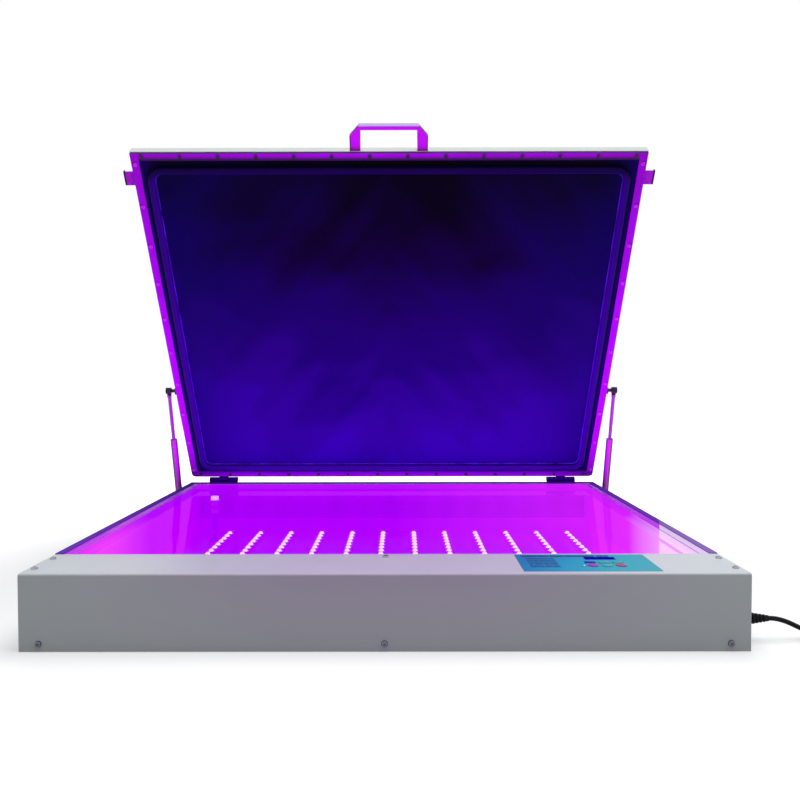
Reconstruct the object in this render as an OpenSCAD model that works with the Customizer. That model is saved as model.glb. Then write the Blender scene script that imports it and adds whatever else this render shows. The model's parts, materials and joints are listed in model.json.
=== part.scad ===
// Tabletop vacuum exposure unit for screen printing.
// A flat sheet-steel cabinet holds rows of lamps under a glass top. A hinged lid with a rubber blanket
// presses the screen to the glass, and two gas springs hold the lid open.
// Millimetres. X runs to the right, Y to the back and Z up. The origin is under the middle of the cabinet.
// The lid is drawn shut and is swung open by lid_open().

/* [Cabinet] */
// Width of the cabinet and of the lid
cab_w = 1000; // [960:1:1060]
// Depth of the cabinet
cab_d = 967; // [940:1:1010]
// Height of the cabinet, up to its rims
cab_h = 107; // [104:0.5:116]
// Thickness of the sheet steel
sheet = 1.5; // [1.2:0.1:2]
// Depth of the control panel in front of the glass
panel_d = 127; // [124:1:134]
// Width of the rims beside and behind the glass
rim_w = 26; // [22:0.5:32]
// Outer radius of the front cover's fold
fold_r = 3; // [2.5:0.5:5]
// Height of the lip that the front cover is screwed to
lip_h = 20; // [18:1:26]
// Width of the rubber strips on the rims
strip_w = 12.5; // [8:0.5:16]
// Thickness of the rubber strips on the rims
strip_t = 1.5; // [1:0.1:2.5]

/* [Glass and light box] */
// Thickness of the exposure glass
glass_t = 8; // [6:0.5:10]
// Depth of the glass below the rims
glass_drop = 1; // [0.5:0.1:1.5]
// Clearance round the edge of the glass
glass_gap = 0.5; // [0.3:0.1:0.8]
// Thickness of the foam gasket under the glass
gasket_t = 1; // [0.8:0.1:2]
// Width of the foam gasket
gasket_w = 10; // [6:0.5:12]
// Thickness of the ledge that carries the glass
ledge_t = 2; // [1.5:0.5:3]
// Reach of the ledge under the glass
ledge_w = 14; // [12:0.5:18]
// Height of the reflector tray's floor
tray_z = 22; // [20:0.5:25]
// Thickness of the reflector tray
tray_t = 1; // [0.8:0.1:1.5]
// Number of lamp strips
led_rows = 12; // [10:1:13]
// Distance between lamp strips
led_row_pitch = 67.7; // [60:0.1:69]
// Sideways shift of the whole set of lamp strips
led_shift = 16.5; // [0:0.5:18]
// Length of a lamp strip
led_len = 550; // [450:5:600]
// Distance from the cabinet's back to the lamp strips
led_back = 217; // [150:1:260]
// Distance between lamps along a strip
led_step = 31; // [25:0.5:40]
// Width of a lamp strip's board
led_bar_w = 18; // [14:0.5:22]
// Thickness of a lamp strip's board
led_bar_t = 3; // [2:0.5:4]
// Radius of a lamp's lens
led_r = 4.5; // [2.5:0.5:5]
// Height of a lamp's lens
led_h = 3.5; // [1.5:0.5:4]

/* [Vacuum] */
// Sideways place of the suction port
port_x = -378; // [-395:1:-376]
// Distance from the cabinet's back to the suction port
port_back = 292; // [270:1:320]
// Radius of the suction port's foot
port_r = 10.5; // [9:0.5:12]
// Height of the suction port above the glass
port_h = 9.5; // [7:0.5:10]
// Radius of the suction port's stem
stem_r = 5; // [4:0.5:6]
// Outer radius of the vacuum hose
hose_r = 5; // [4:0.5:5.5]
// Wall of the vacuum hose
hose_wall = 2; // [1.5:0.1:2.2]
// Bend radius of the vacuum hose
hose_bend = 30; // [25:1:34]
// Radius of the pump's motor
motor_r = 30; // [24:1:33]
// Length of the pump's motor
motor_l = 85; // [60:1:95]
// Width of the pump's head
head_w = 54; // [46:1:60]
// Depth of the pump's head
head_d = 60; // [50:1:66]
// Height of the pump's head
head_h = 66; // [60:1:72]
// Thickness of the pump's base
pump_base_t = 3; // [2:0.5:4]

/* [Electrics] */
// Length of a power supply
psu_l = 215; // [180:1:220]
// Depth of a power supply
psu_d = 100; // [80:1:104]
// Height of a power supply
psu_h = 40; // [30:1:50]
// Distance from the cabinet's middle to each power supply
psu_gap = 8; // [4:1:15]
// Thickness of the control board
board_t = 1.6; // [1.2:0.1:2.4]
// Depth of the control board below the panel
board_drop = 14; // [12:0.5:18]
// Size of the cooling fan
fan_s = 80; // [70:1:84]
// Thickness of the cooling fan
fan_t = 25; // [20:1:28]
// Radius of the fan's hub
hub_r = 16; // [12:0.5:20]
// Number of fan blades
blades = 7; // [5:1:9]
// Radius of the wiring loom
loom_r = 3.5; // [2.5:0.5:4.5]

/* [Control panel] */
// Width of the control label
label_w = 192; // [184:1:200]
// Depth of the control label
label_d = 107; // [100:1:112]
// Thickness of the control label
label_t = 0.5; // [0.3:0.1:0.8]
// Sideways place of the label's middle
label_x = 288; // [280:1:300]
// Distance from the cabinet's front to the label's middle
label_front = 66; // [62:1:68]
// Sideways place of the keys' middle column
key_x = 314; // [306:1:322]
// Distance from the cabinet's front to the near row of keys
key_front = 44.5; // [36:0.5:48]
// Distance between keys
key_pitch = 20; // [18:0.5:22]
// Radius of a round key
key_r = 7.6; // [6:0.1:8]
// Depth of an oblong key
key_d = 9; // [7:0.5:11]
// Height of a key above the panel
key_h = 1.7; // [1.3:0.1:2.5]
// Travel of a key
key_travel = 1; // [0.6:0.1:1.2]
// Width of the display
display_w = 45; // [40:1:52]
// Depth of the display
display_d = 19; // [14:1:20]
// Distance from the cabinet's front to the display's middle
display_front = 93.5; // [90:0.5:100]
// Radius of the indicator lamp
lamp_r = 2; // [1.5:0.1:2.5]

/* [Lid] */
// Length of the lid from back to front
lid_l = 830; // [800:1:838]
// Side of the lid's square tube
tube_s = 20; // [18:1:30]
// Wall of the lid's square tube
tube_wall = 1.5; // [1.2:0.1:2]
// Gap between the rims and the clamp bars of the shut lid
lid_gap = 8.6; // [8:0.1:12]
// Reach of the lid past the cabinet's back
lid_over = 0.5; // [0:0.1:1]
// Opening angle of the lid
open_angle = 55.3; // [45:0.1:65]
// Thickness of the rubber blanket
blanket_t = 2; // [1.5:0.1:3]
// Width of a clamp bar
bar_w = 15; // [12:0.5:24]
// Thickness of a clamp bar
bar_t = 3; // [2:0.5:4]
// Radius of the lid's corners at the hinges
lid_corner = 12; // [4:1:16]
// Inset of the clamp bars and blanket from the lid's edge
bar_inset = 1.5; // [1:0.1:2.5]
// Distance from the lid's edge to the blanket's bead
bead_in = 29; // [28:0.5:36]
// Width of the blanket's bead
bead_w = 13; // [10:0.5:16]
// Inner corner radius of the blanket's bead
bead_r = 16; // [10:1:50]
// Clearance between the shut lid's bead and the glass
bead_gap = 0.4; // [0.3:0.1:1]
// Screws along each end of the lid
end_screws = 14; // [10:1:16]
// Screws along each side of the lid
side_screws = 10; // [8:1:12]
// Distance from the lid's corner to the first screw
screw_in = 24; // [22:0.5:40]

/* [Handle and keepers] */
// Width of the handle
handle_w = 150; // [120:1:180]
// Width of the handle's grip at its outer face
grip_w = 114; // [90:1:120]
// Reach of the handle
handle_reach = 48; // [42:1:60]
// Thickness of the handle
handle_t = 16; // [10:0.5:18]
// Thickness of the handle's grip
grip_t = 8; // [6:0.5:14]
// Width of the handle's legs
leg_w = 20; // [14:0.5:22]
// Straight part of the handle's legs
leg_straight = 28; // [15:1:32]
// How far back from the lid's front the keepers stand
keeper_back = 55; // [45:1:90]
// Width of a keeper
keeper_w = 28; // [20:1:28]
// Reach of a keeper
keeper_reach = 20; // [18:0.5:22]
// Thickness of a keeper
keeper_t = 2; // [1.5:0.1:2.5]
// Height of a keeper's lip
keeper_lip = 6; // [4:0.5:8]

/* [Hinges] */
// Distance from the middle to each hinge
hinge_x = 420; // [380:1:440]
// Width of a hinge
hinge_w = 70; // [50:1:90]
// Distance from the cabinet's back to the hinge axis
hinge_back = 7; // [6.8:0.1:9]
// Height of the hinge axis above the rims
hinge_up = 8; // [7:0.1:8.4]
// Radius of a hinge knuckle
knuckle_r = 5.5; // [4.5:0.1:5.7]
// Radius of a hinge pin
pin_r = 2.5; // [2:0.1:3]
// Thickness of a hinge leaf
leaf_t = 2.5; // [2:0.1:3]
// Height of the hinge leaf on the cabinet
leaf_h = 36; // [28:1:45]

/* [Gas springs] */
// Distance from the cabinet's side to a gas spring
gas_out = 18; // [16:0.5:22]
// Distance from the cabinet's back to the lower stud
gas_back = 36; // [30:1:45]
// Depth of the lower stud below the rims
gas_drop = 60; // [50:1:75]
// Distance from the lid's back to the upper stud
gas_lid_back = 257; // [245:1:270]
// Outer radius of a gas spring's tube
gas_r = 8; // [7:0.5:9]
// Bore of a gas spring's tube
gas_bore_r = 6.6; // [6:0.1:6.8]
// Radius of a gas spring's rod
rod_r = 4; // [3:0.5:5]
// Length of a gas spring's tube, from the lower stud
gas_tube_l = 185; // [175:1:190]
// Radius of a stud
stud_r = 4; // [3:0.1:4.5]
// Width of an eye
eye_w = 12; // [10:0.5:14]
// Radius of an eye
eye_r = 7.5; // [7:0.1:9]

/* [Latches] */
// Depth of a latch lever's pivot below the rims
latch_drop = 22; // [18:0.5:26]
// Distance from the cabinet's side to a latch lever's pivot
latch_out = 9; // [8.5:0.1:11]
// Distance between the lever's pivot and the bail's pivot
latch_throw = 12; // [11:0.1:14]
// Width of a latch lever
lever_w = 22; // [18:0.5:23]
// Length of a latch lever
lever_l = 58; // [45:1:65]
// Thickness of a latch lever's plate
lever_t = 2; // [1.5:0.1:2.5]
// Radius of a bail's wire
wire_r = 2; // [1.5:0.1:2.2]

/* [Power switch and cord] */
// Distance from the cabinet's front to the power switch
switch_front = 92; // [84:1:105]
// Height of the power switch
switch_z = 45; // [40:1:60]
// Tilt of the switch's rocker each way
rock_angle = 8; // [5:0.5:9]
// Height of the cord's exit
cord_z = 31; // [26:0.5:40]
// Distance from the cabinet's front to the cord's exit
cord_front = 50; // [44:0.5:60]
// Length of the strain relief outside the cabinet
relief_l = 45; // [35:1:55]
// Radius of the strain relief at the cabinet
relief_r = 10; // [8:0.5:11]
// Radius of the cord
cord_r = 3.5; // [3:0.1:4]

/* [Hidden] */
$fn = 48;

// Clearances
run_gap = 0.05;   // between a pin and the bore that turns on it
hole_gap = 0.2;   // between a screw or stem and its hole
seat_gap = 0.3;   // between pieces that rest beside each other and move apart
cut = 1;          // how far a cutting shape runs past a face

// Cabinet planes
half_w = cab_w / 2;
front_y = -cab_d / 2;
back_y = cab_d / 2;
inner_x = half_w - sheet;
glass_front = front_y + panel_d;
glass_back = back_y - rim_w;
glass_x = half_w - rim_w;
seat_w = rim_w - ledge_t;
glass_top = cab_h - glass_drop;
glass_low = glass_top - glass_t;
ledge_top = glass_low - gasket_t;
ledge_low = ledge_top - ledge_t;
wall_y = glass_front - ledge_t - sheet;
bay_y = (front_y + 2 * sheet + wall_y) / 2;   // middle of the electrics bay

// Fasteners
m5_r = 2.45;
m5_head_r = 4.75;
m5_head_h = 3;
m4_r = 2;
m4_head_r = 4;
m4_head_h = 2.4;
cover_screw_l = 7;
hardware_screw_l = 5;
edge_in = 10;                                  // from the cabinet's edge to a cover screw
cover_top_front = [31, 95];                    // places of the cover's side screws, from the front
cover_top_mid = 105;                           // place of the cover's middle screw, from the front
cover_face_in = 27;                            // from the cabinet's side to the face screws
cover_face_z = 11;

// Lid planes, lid shut
bar_z = cab_h + lid_gap;
blanket_z = bar_z + bar_t;
tube_z = blanket_z + blanket_t;
lid_top = tube_z + tube_s;
lid_mid = (bar_z + lid_top) / 2;
tube_mid = tube_z + tube_s / 2;
lid_back = back_y + lid_over;
lid_front = lid_back - lid_l;
edge_x = half_w - bar_inset;
edge_back = lid_back - bar_inset;
edge_front = lid_front + bar_inset;
bead_h = blanket_z - glass_top - bead_gap;
bead_round = 3;
bar_inner_r = 4;
axis_y = back_y + hinge_back;
axis_z = cab_h + hinge_up;

// Gas springs
gas_x = half_w + gas_out;
low_y = back_y - gas_back;
low_z = cab_h - gas_drop;
shut_y = lid_back - gas_lid_back - axis_y;
shut_z = lid_mid - axis_z;
high_y = axis_y + shut_y * cos(open_angle) + shut_z * sin(open_angle);
high_z = axis_z - shut_y * sin(open_angle) + shut_z * cos(open_angle);
gas_l = sqrt(pow(high_y - low_y, 2) + pow(high_z - low_z, 2));
gas_tilt = atan2(low_y - high_y, high_z - low_z);
gland_l = 12;
piston_l = 8;
piston_low = 150;

// Latches
latch_y = lid_front + keeper_back;
flange_z = bar_z + 8;
pivot_z = cab_h - latch_drop;
bail_z = pivot_z - latch_throw;
bail_l = flange_z + keeper_t + wire_r + seat_gap + 0.1 - bail_z;
ear_t = 2;
ear_r = 5;
latch_pin_r = 2;
arm_y = keeper_w / 2 + wire_r + 0.6;

// Keys
board_top = cab_h - sheet - board_drop;
key_foot = 8;
key_collar_t = 1.5;
key_collar = 1.2;
key_names = ["vacuum_key", "start_key", "stop_key", "set_key", "minus_key", "plus_key"];

// Cord: from the strain relief down to the table and the coil, and from the coil round to the plug
cord_y = front_y + cord_front;
coil_columns = 3;
coil_layers = 2;
coil_mid_r = 38.5;
coil_out_r = coil_mid_r + coil_columns * cord_r;
cord_side = coil_out_r + cord_r + 0.2;         // from the coil's middle to a cord that lies against it
cord_shift = 10;                               // sideways bend of the cord on its way to the coil
coil_x = half_w + 132;
coil_y = cord_y + cord_shift - cord_side;
plug_l = 34;
plug_neck = 10;
plug_w = 25;
plug_h = 22;
blade_l = 17;
plug_y = coil_y - coil_out_r - 16;
plug_z = plug_h / 2;
cord_steps = 12;

// ---------- shared shapes ----------

// A box between two corners
module block(x0, x1, y0, y1, z0, z1) {
    translate([x0, y0, z0]) cube([x1 - x0, y1 - y0, z1 - z0]);
}

// A rectangular ring of width w inside the rectangle from -x to x and y0 to y1
module ring(x, y0, y1, w, z0, z1) {
    difference() {
        block(-x, x, y0, y1, z0, z1);
        block(w - x, x - w, y0 + w, y1 - w, z0 - cut, z1 + cut);
    }
}

// A flat rectangle with round corners
module rounded(x, y0, y1, r) {
    translate([-x, y0 + r]) square([2 * x, y1 - y0 - 2 * r]);
    translate([r - x, y0]) square([2 * (x - r), y1 - y0]);
    for (sx = [-1, 1], y = [y0 + r, y1 - r]) translate([sx * (x - r), y]) circle(r);
}

// A column over the rectangle from -x to x and y0 to y1, with the two corners at y1 rounded
module column(x, y0, y1, r, z0, z1) {
    translate([0, 0, z0]) linear_extrude(z1 - z0) {
        translate([-x, y0]) square([2 * x, y1 - y0 - r]);
        translate([r - x, y0]) square([2 * (x - r), y1 - y0]);
        for (sx = [-1, 1]) translate([sx * (x - r), y1 - r]) circle(r);
    }
}

// A pan-head screw along Z with its head above the origin
module pan_screw(r, l, head_r, head_h) {
    translate([0, 0, -l]) cylinder(r = r, h = l + head_h / 4);
    cylinder(r = head_r, h = head_h / 2);
    translate([0, 0, head_h / 2]) cylinder(r1 = head_r, r2 = 0.6 * head_r, h = head_h / 2);
}

// Turns a shape drawn along Z so that it points along +X or -X
module along_x(side) { rotate([0, side * 90, 0]) children(); }

// Copies a shape to both sides of the cabinet
module both_sides() {
    children();
    mirror([1, 0, 0]) children();
}

// Swings what is drawn on the shut lid to the open lid
module lid_open() {
    translate([0, axis_y, axis_z]) rotate([-open_angle, 0, 0]) translate([0, -axis_y, -axis_z]) children();
}

// ---------- cabinet ----------

module cover_screw_tops() {
    for (sx = [-1, 1], y = cover_top_front) {
        translate([sx * (half_w - edge_in), front_y + y, cab_h]) children();
    }
    translate([0, front_y + cover_top_mid, cab_h]) children();
}

module cover_screw_faces() {
    for (x = [-1, 0, 1]) {
        translate([x * (half_w - cover_face_in), front_y, cover_face_z]) rotate([90, 0, 0]) children();
    }
}

module hinge_screw_places() {
    for (x = [-1, 1], z = [0.35, 0.75]) {
        translate([hinge_x + x * hinge_w / 3, back_y + leaf_t, cab_h - leaf_h * z]) {
            rotate([-90, 0, 0]) children();
        }
    }
}

module latch_screw_places() {
    for (z = [latch_throw + 8, lever_l - 8]) {
        translate([half_w + keeper_t, latch_y, pivot_z - z]) along_x(1) children();
    }
}

module hardware_screw_places() {
    both_sides() {
        hinge_screw_places() children();
        latch_screw_places() children();
    }
}

vent_slots = 9;
vent_slot_h = 3;
vent_slot_pitch = 7;
vent_slot_l = 60;
module vent(x) {
    for (i = [0 : vent_slots - 1]) {
        z = fan_z + (i - (vent_slots - 1) / 2) * vent_slot_pitch;
        block(x - 2 * sheet, x + 2 * sheet, fan_y - vent_slot_l / 2, fan_y + vent_slot_l / 2,
            z - vent_slot_h / 2, z + vent_slot_h / 2);
    }
}

module cabinet_pan() {
    color("lightgray") difference() {
        union() {
            block(-half_w, half_w, front_y + sheet, back_y, 0, sheet);
            block(-half_w, half_w, front_y + sheet, front_y + 2 * sheet, 0, lip_h);
            block(-half_w, half_w, back_y - sheet, back_y, 0, cab_h);
            block(-glass_x - cut, glass_x + cut, glass_back, back_y, cab_h - sheet, cab_h);
            both_sides() {
                block(inner_x, half_w, front_y + sheet, glass_front + cut, 0, cab_h - sheet);
                block(inner_x, half_w, glass_front, back_y, 0, cab_h);
                block(glass_x, half_w, glass_front, back_y, cab_h - sheet, cab_h);
                block(half_w - seat_w, half_w, front_y + sheet, glass_front + cut,
                    cab_h - 2 * sheet, cab_h - sheet);
            }
        }
        translate([-half_w - cut, 0, 0]) rotate([90, 0, 90]) linear_extrude(cab_w + 2 * cut) difference() {
            translate([front_y, cab_h - fold_r]) square(fold_r);
            translate([front_y + fold_r, cab_h - fold_r]) circle(fold_r - sheet - run_gap);
        }
        cover_screw_tops() cylinder(r = m5_r + hole_gap, h = 6 * sheet, center = true);
        cover_screw_faces() cylinder(r = m5_r + hole_gap, h = 6 * sheet, center = true);
        hardware_screw_places() cylinder(r = m4_r + hole_gap, h = 8 * sheet, center = true);
        vent(-half_w);
        translate([half_w, cord_y, cord_z]) along_x(1) {
            cylinder(r = relief_neck_r + hole_gap, h = 4 * sheet, center = true);
        }
        block(half_w - 2 * sheet, half_w + cut, switch_y - switch_w / 2 - hole_gap,
            switch_y + switch_w / 2 + hole_gap, switch_z - switch_h / 2 - hole_gap,
            switch_z + switch_h / 2 + hole_gap);
    }
}

module front_cover() {
    color("silver") difference() {
        translate([-half_w, 0, 0]) rotate([90, 0, 90]) linear_extrude(cab_w) {
            translate([front_y, 0]) square([sheet, cab_h - fold_r]);
            translate([front_y + fold_r, cab_h - sheet]) square([panel_d - fold_r, sheet]);
            intersection() {
                translate([front_y + fold_r, cab_h - fold_r]) difference() {
                    circle(fold_r);
                    circle(fold_r - sheet);
                }
                translate([front_y, cab_h - fold_r]) square(fold_r);
            }
        }
        cover_screw_tops() cylinder(r = m5_r + hole_gap, h = 6 * sheet, center = true);
        cover_screw_faces() cylinder(r = m5_r + hole_gap, h = 6 * sheet, center = true);
        key_holes();
        display_window(hole_gap);
        lamp_place() cylinder(r = lamp_r + hole_gap, h = 6 * sheet, center = true);
    }
}

module glass_ledge() {
    color("gainsboro") {
        ring(glass_x + ledge_t, glass_front - ledge_t, glass_back + ledge_t, ledge_t,
            ledge_low, cab_h - sheet);
        ring(glass_x + ledge_t, glass_front - ledge_t, glass_back + ledge_t, ledge_t + ledge_w,
            ledge_low, ledge_top);
    }
}

module glass_gasket() {
    color("dimgray") ring(glass_x - glass_gap, glass_front + glass_gap, glass_back - glass_gap, gasket_w,
        ledge_top, glass_low);
}

module exposure_glass() {
    color("violet", 0.5) difference() {
        block(glass_gap - glass_x, glass_x - glass_gap, glass_front + glass_gap, glass_back - glass_gap,
            glass_low, glass_top);
        translate([port_x, port_y, glass_low - cut]) cylinder(r = stem_r + hole_gap, h = glass_t + 2 * cut);
    }
}

module rim_strips() {
    color("indigo") {
        both_sides() block(half_w - strip_w, half_w, glass_front, back_y, cab_h, cab_h + strip_t);
        block(strip_w - half_w, half_w - strip_w, back_y - strip_w, back_y, cab_h, cab_h + strip_t);
    }
}

module compartment_wall() {
    color("gray") difference() {
        block(-inner_x, inner_x, wall_y, wall_y + sheet, sheet, cab_h - 2 * sheet);
        translate([port_x, wall_y, hose_z]) rotate([90, 0, 0]) {
            cylinder(r = hose_r + hole_gap, h = 4 * sheet, center = true);
        }
    }
}

module reflector_tray() {
    color("orchid") difference() {
        union() {
            block(-glass_x, glass_x, glass_front, glass_back, tray_z, tray_z + tray_t);
            ring(glass_x, glass_front, glass_back, tray_t, tray_z, ledge_low);
        }
        block(port_x - hose_r - 1, port_x + hose_r + 1, port_y - hose_r - hose_bend, port_y + hose_r + 1,
            tray_z - cut, tray_z + tray_t + cut);
    }
}

led_x0 = led_shift - (led_rows - 1) / 2 * led_row_pitch;
led_y1 = back_y - led_back;
led_count = floor(led_len / led_step);
led_y0 = led_y1 - led_len / 2 - (led_count - 1) / 2 * led_step;
led_z = tray_z + tray_t;
module led_strips() {
    color("plum") for (i = [0 : led_rows - 1]) {
        x = led_x0 + i * led_row_pitch;
        block(x - led_bar_w / 2, x + led_bar_w / 2, led_y1 - led_len, led_y1, led_z, led_z + led_bar_t);
        for (k = [0 : led_count - 1]) {
            translate([x, led_y0 + k * led_step, led_z + led_bar_t]) {
                cylinder(r1 = led_r, r2 = 0.6 * led_r, h = led_h);
            }
        }
    }
}

module cover_screws() {
    color("slategray") {
        cover_screw_tops() pan_screw(m5_r, cover_screw_l, m5_head_r, m5_head_h);
        cover_screw_faces() pan_screw(m5_r, cover_screw_l, m5_head_r, m5_head_h);
    }
}

module base_hardware_screws() {
    color("slategray") hardware_screw_places() {
        pan_screw(m4_r, hardware_screw_l + keeper_t, m4_head_r, m4_head_h);
    }
}

// ---------- vacuum ----------

port_y = back_y - port_back;
nut_t = 6;
hose_z = sheet + hose_r + 5;
hose_top = glass_low - nut_t;
module suction_port() {
    color("white") translate([port_x, port_y, glass_top]) difference() {
        union() {
            cylinder(r = port_r, h = 2);
            cylinder(r = 0.76 * port_r, h = port_h);
            translate([0, 0, -glass_t - nut_t - 10]) cylinder(r = stem_r, h = glass_t + nut_t + 10);
            translate([0, 0, -glass_t - nut_t - 22]) cylinder(r = hose_r - hose_wall - run_gap, h = 13);
        }
        translate([0, 0, port_h / 2]) along_x(-1) cylinder(r = 2.5, h = 2 * port_r);
        translate([0, 0, -glass_t - nut_t - 30]) cylinder(r = 1.6, h = glass_t + nut_t + 30 + port_h / 2);
    }
}

module port_nut() {
    color("whitesmoke") translate([port_x, port_y, glass_low - nut_t]) difference() {
        cylinder(r = 2 * stem_r, h = nut_t, $fn = 6);
        translate([0, 0, -cut]) cylinder(r = stem_r + hole_gap / 2, h = nut_t + 2 * cut);
    }
}

// Upright below the port, a quarter bend under the tray and a straight run to the pump
module hose_solid(r) {
    top = hose_top - 10 - seat_gap;
    translate([port_x, port_y, hose_z + hose_bend]) cylinder(r = r, h = top - hose_z - hose_bend);
    translate([port_x, port_y - hose_bend, hose_z + hose_bend]) rotate([0, 90, 0]) {
        rotate_extrude(angle = 90) translate([hose_bend, 0]) circle(r);
    }
    translate([port_x, port_y - hose_bend, hose_z]) rotate([90, 0, 0]) {
        cylinder(r = r, h = port_y - hose_bend - head_y1 - seat_gap);
    }
}

module vacuum_hose() {
    color("lavender") difference() {
        hose_solid(hose_r);
        hose_solid(hose_r - hose_wall);
    }
}

head_y1 = bay_y + head_d / 2;
head_z = sheet + pump_base_t;
module pump_head() {
    color("darkslategray") {
        block(port_x - head_w / 2, port_x + head_w / 2, bay_y - head_d / 2, head_y1,
            head_z, head_z + head_h);
        translate([port_x, head_y1, hose_z]) rotate([-90, 0, 0]) {
            cylinder(r = hose_r - hose_wall - run_gap, h = 14);
        }
        for (y = [-1, 1]) {
            translate([port_x, bay_y + y * head_d / 4, head_z + head_h]) cylinder(r = 9, h = 6);
        }
    }
}

motor_z = head_z + head_h / 2;
module pump_motor() {
    color("black") translate([port_x + head_w / 2, bay_y, motor_z]) along_x(1) {
        cylinder(r = motor_r, h = motor_l);
        translate([0, 0, motor_l]) cylinder(r = 0.5 * motor_r, h = 6);
    }
    color("black") translate([port_x + head_w / 2 + motor_l / 2, bay_y, 0]) {
        block(-motor_l / 4, motor_l / 4, -0.5 * motor_r, 0.5 * motor_r, head_z, motor_z - 0.7 * motor_r);
    }
}

module pump_base() {
    color("dimgray") block(port_x - head_w / 2, port_x + head_w / 2 + motor_l,
        bay_y - head_d / 2, head_y1, sheet, head_z);
}

// ---------- electrics ----------

module power_supply(x0) {
    color("gainsboro") {
        block(x0, x0 + psu_l, bay_y - psu_d / 2, bay_y + psu_d / 2, sheet, sheet + psu_h - 12);
        block(x0, x0 + psu_l - 26, bay_y - psu_d / 2, bay_y + psu_d / 2, sheet, sheet + psu_h);
    }
}
module left_power_supply() { power_supply(-psu_gap - psu_l); }
module right_power_supply() { power_supply(psu_gap); }

board_x0 = label_x - label_w / 2 + 6;
board_x1 = label_x + label_w / 2 - 6;
board_y0 = front_y + key_front - key_r - 6;
board_y1 = front_y + display_front + display_d / 2 + 4;
tact_s = 6;
tact_gap = 0.4;
tact_h = board_drop - key_foot - key_travel - tact_gap;
post_r = 3;
relay_w = 28;
relay_d = 16;
relay_h = 16;
module control_board() {
    color("seagreen") {
        block(board_x0, board_x1, board_y0, board_y1, board_top - board_t, board_top);
        key_places_at(board_top) translate([-tact_s / 2, -tact_s / 2, 0]) cube([tact_s, tact_s, tact_h]);
        for (x = [board_x0 + 6, board_x1 - 6], y = [board_y0 + 5, board_y1 - 5]) {
            translate([x, y, board_top]) cylinder(r = post_r, h = board_drop);
        }
        for (x = [board_x0 + 20, board_x0 + 60]) {
            block(x, x + relay_w, board_y0 + 20, board_y0 + 20 + relay_d,
                board_top - board_t - relay_h, board_top - board_t);
        }
    }
}

module display_window(gap) {
    block(key_x - display_w / 2 - gap, key_x + display_w / 2 + gap,
        front_y + display_front - display_d / 2 - gap, front_y + display_front + display_d / 2 + gap,
        cab_h - 3 * sheet, cab_h + label_t + cut);
}

module lamp_place() {
    translate([key_x - key_pitch - key_r - lamp_r - 3, front_y + key_front, cab_h]) children();
}

module display_module() {
    color("midnightblue") {
        block(key_x - display_w / 2, key_x + display_w / 2, front_y + display_front - display_d / 2,
            front_y + display_front + display_d / 2, board_top, cab_h + label_t / 2);
        lamp_place() translate([0, 0, board_top - cab_h]) cylinder(r = lamp_r, h = cab_h - board_top + 1);
    }
}

module control_label() {
    color("steelblue") difference() {
        block(label_x - label_w / 2, label_x + label_w / 2, front_y + label_front - label_d / 2,
            front_y + label_front + label_d / 2, cab_h, cab_h + label_t);
        key_holes();
        display_window(hole_gap);
        lamp_place() cylinder(r = lamp_r + hole_gap, h = 4, center = true);
    }
}

// The six places of the keys at a height: near row first, left to right
module key_places_at(z) {
    for (row = [0, 1], col = [-1, 0, 1]) key_place(row, col, z) children();
}

module key_place(row, col, z) {
    translate([key_x + col * key_pitch, front_y + key_front + row * key_pitch, z]) children();
}

// The outline of a key grown by a margin: round in the near row, oblong in the far row
module key_outline(row, grow) {
    if (row == 0) {
        circle(key_r + grow);
    } else {
        square([2 * (key_r + grow), key_d + 2 * grow], center = true);
    }
}

module key_holes() {
    for (row = [0, 1], col = [-1, 0, 1]) {
        key_place(row, col, cab_h - 3 * sheet) linear_extrude(6 * sheet) key_outline(row, 2 * hole_gap);
    }
}

module key_button(name) {
    i = search([name], key_names)[0];
    row = floor(i / 3);
    key_place(row, i % 3 - 1, cab_h) {
        translate([0, 0, -sheet - key_foot]) linear_extrude(sheet + key_foot + key_h) key_outline(row, 0);
        translate([0, 0, -sheet - seat_gap - key_collar_t]) {
            linear_extrude(key_collar_t) key_outline(row, key_collar);
        }
    }
}
module set_key() { color("darkblue") key_button("set_key"); }
module minus_key() { color("cadetblue") key_button("minus_key"); }
module plus_key() { color("cadetblue") key_button("plus_key"); }
module vacuum_key() { color("mediumvioletred") key_button("vacuum_key"); }
module start_key() { color("teal") key_button("start_key"); }
module stop_key() { color("crimson") key_button("stop_key"); }

// Along the back of the bay, from the cord's inlet past both power supplies to the pump
loom_y = wall_y - loom_r - 1.5;
loom_z = sheet + loom_r + seat_gap;
loom_x0 = port_x + head_w / 2 + motor_l + 8;
loom_x1 = inner_x - 28;
module wiring_loom() {
    color("darkred") {
        for (x = [loom_x0 + 12, 0, loom_x1 - 30]) {
            block(x - 4, x + 4, loom_y - loom_r, loom_y + loom_r, sheet, loom_z);
        }
        translate([loom_x0, loom_y, loom_z]) along_x(1) cylinder(r = loom_r, h = loom_x1 - loom_x0);
        translate([loom_x1, loom_y, loom_z]) sphere(loom_r);
        translate([loom_x1, loom_y, loom_z]) rotate([90, 0, 0]) cylinder(r = loom_r, h = loom_y - cord_y);
        translate([loom_x1, cord_y, loom_z]) sphere(loom_r);
        translate([loom_x1, cord_y, loom_z]) cylinder(r = loom_r, h = cord_z - loom_z);
        translate([loom_x1, cord_y, cord_z]) sphere(loom_r);
        translate([loom_x1, cord_y, cord_z]) along_x(1) {
            cylinder(r = loom_r, h = inner_x - relief_nut_t - seat_gap - loom_x1);
        }
    }
}

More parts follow.
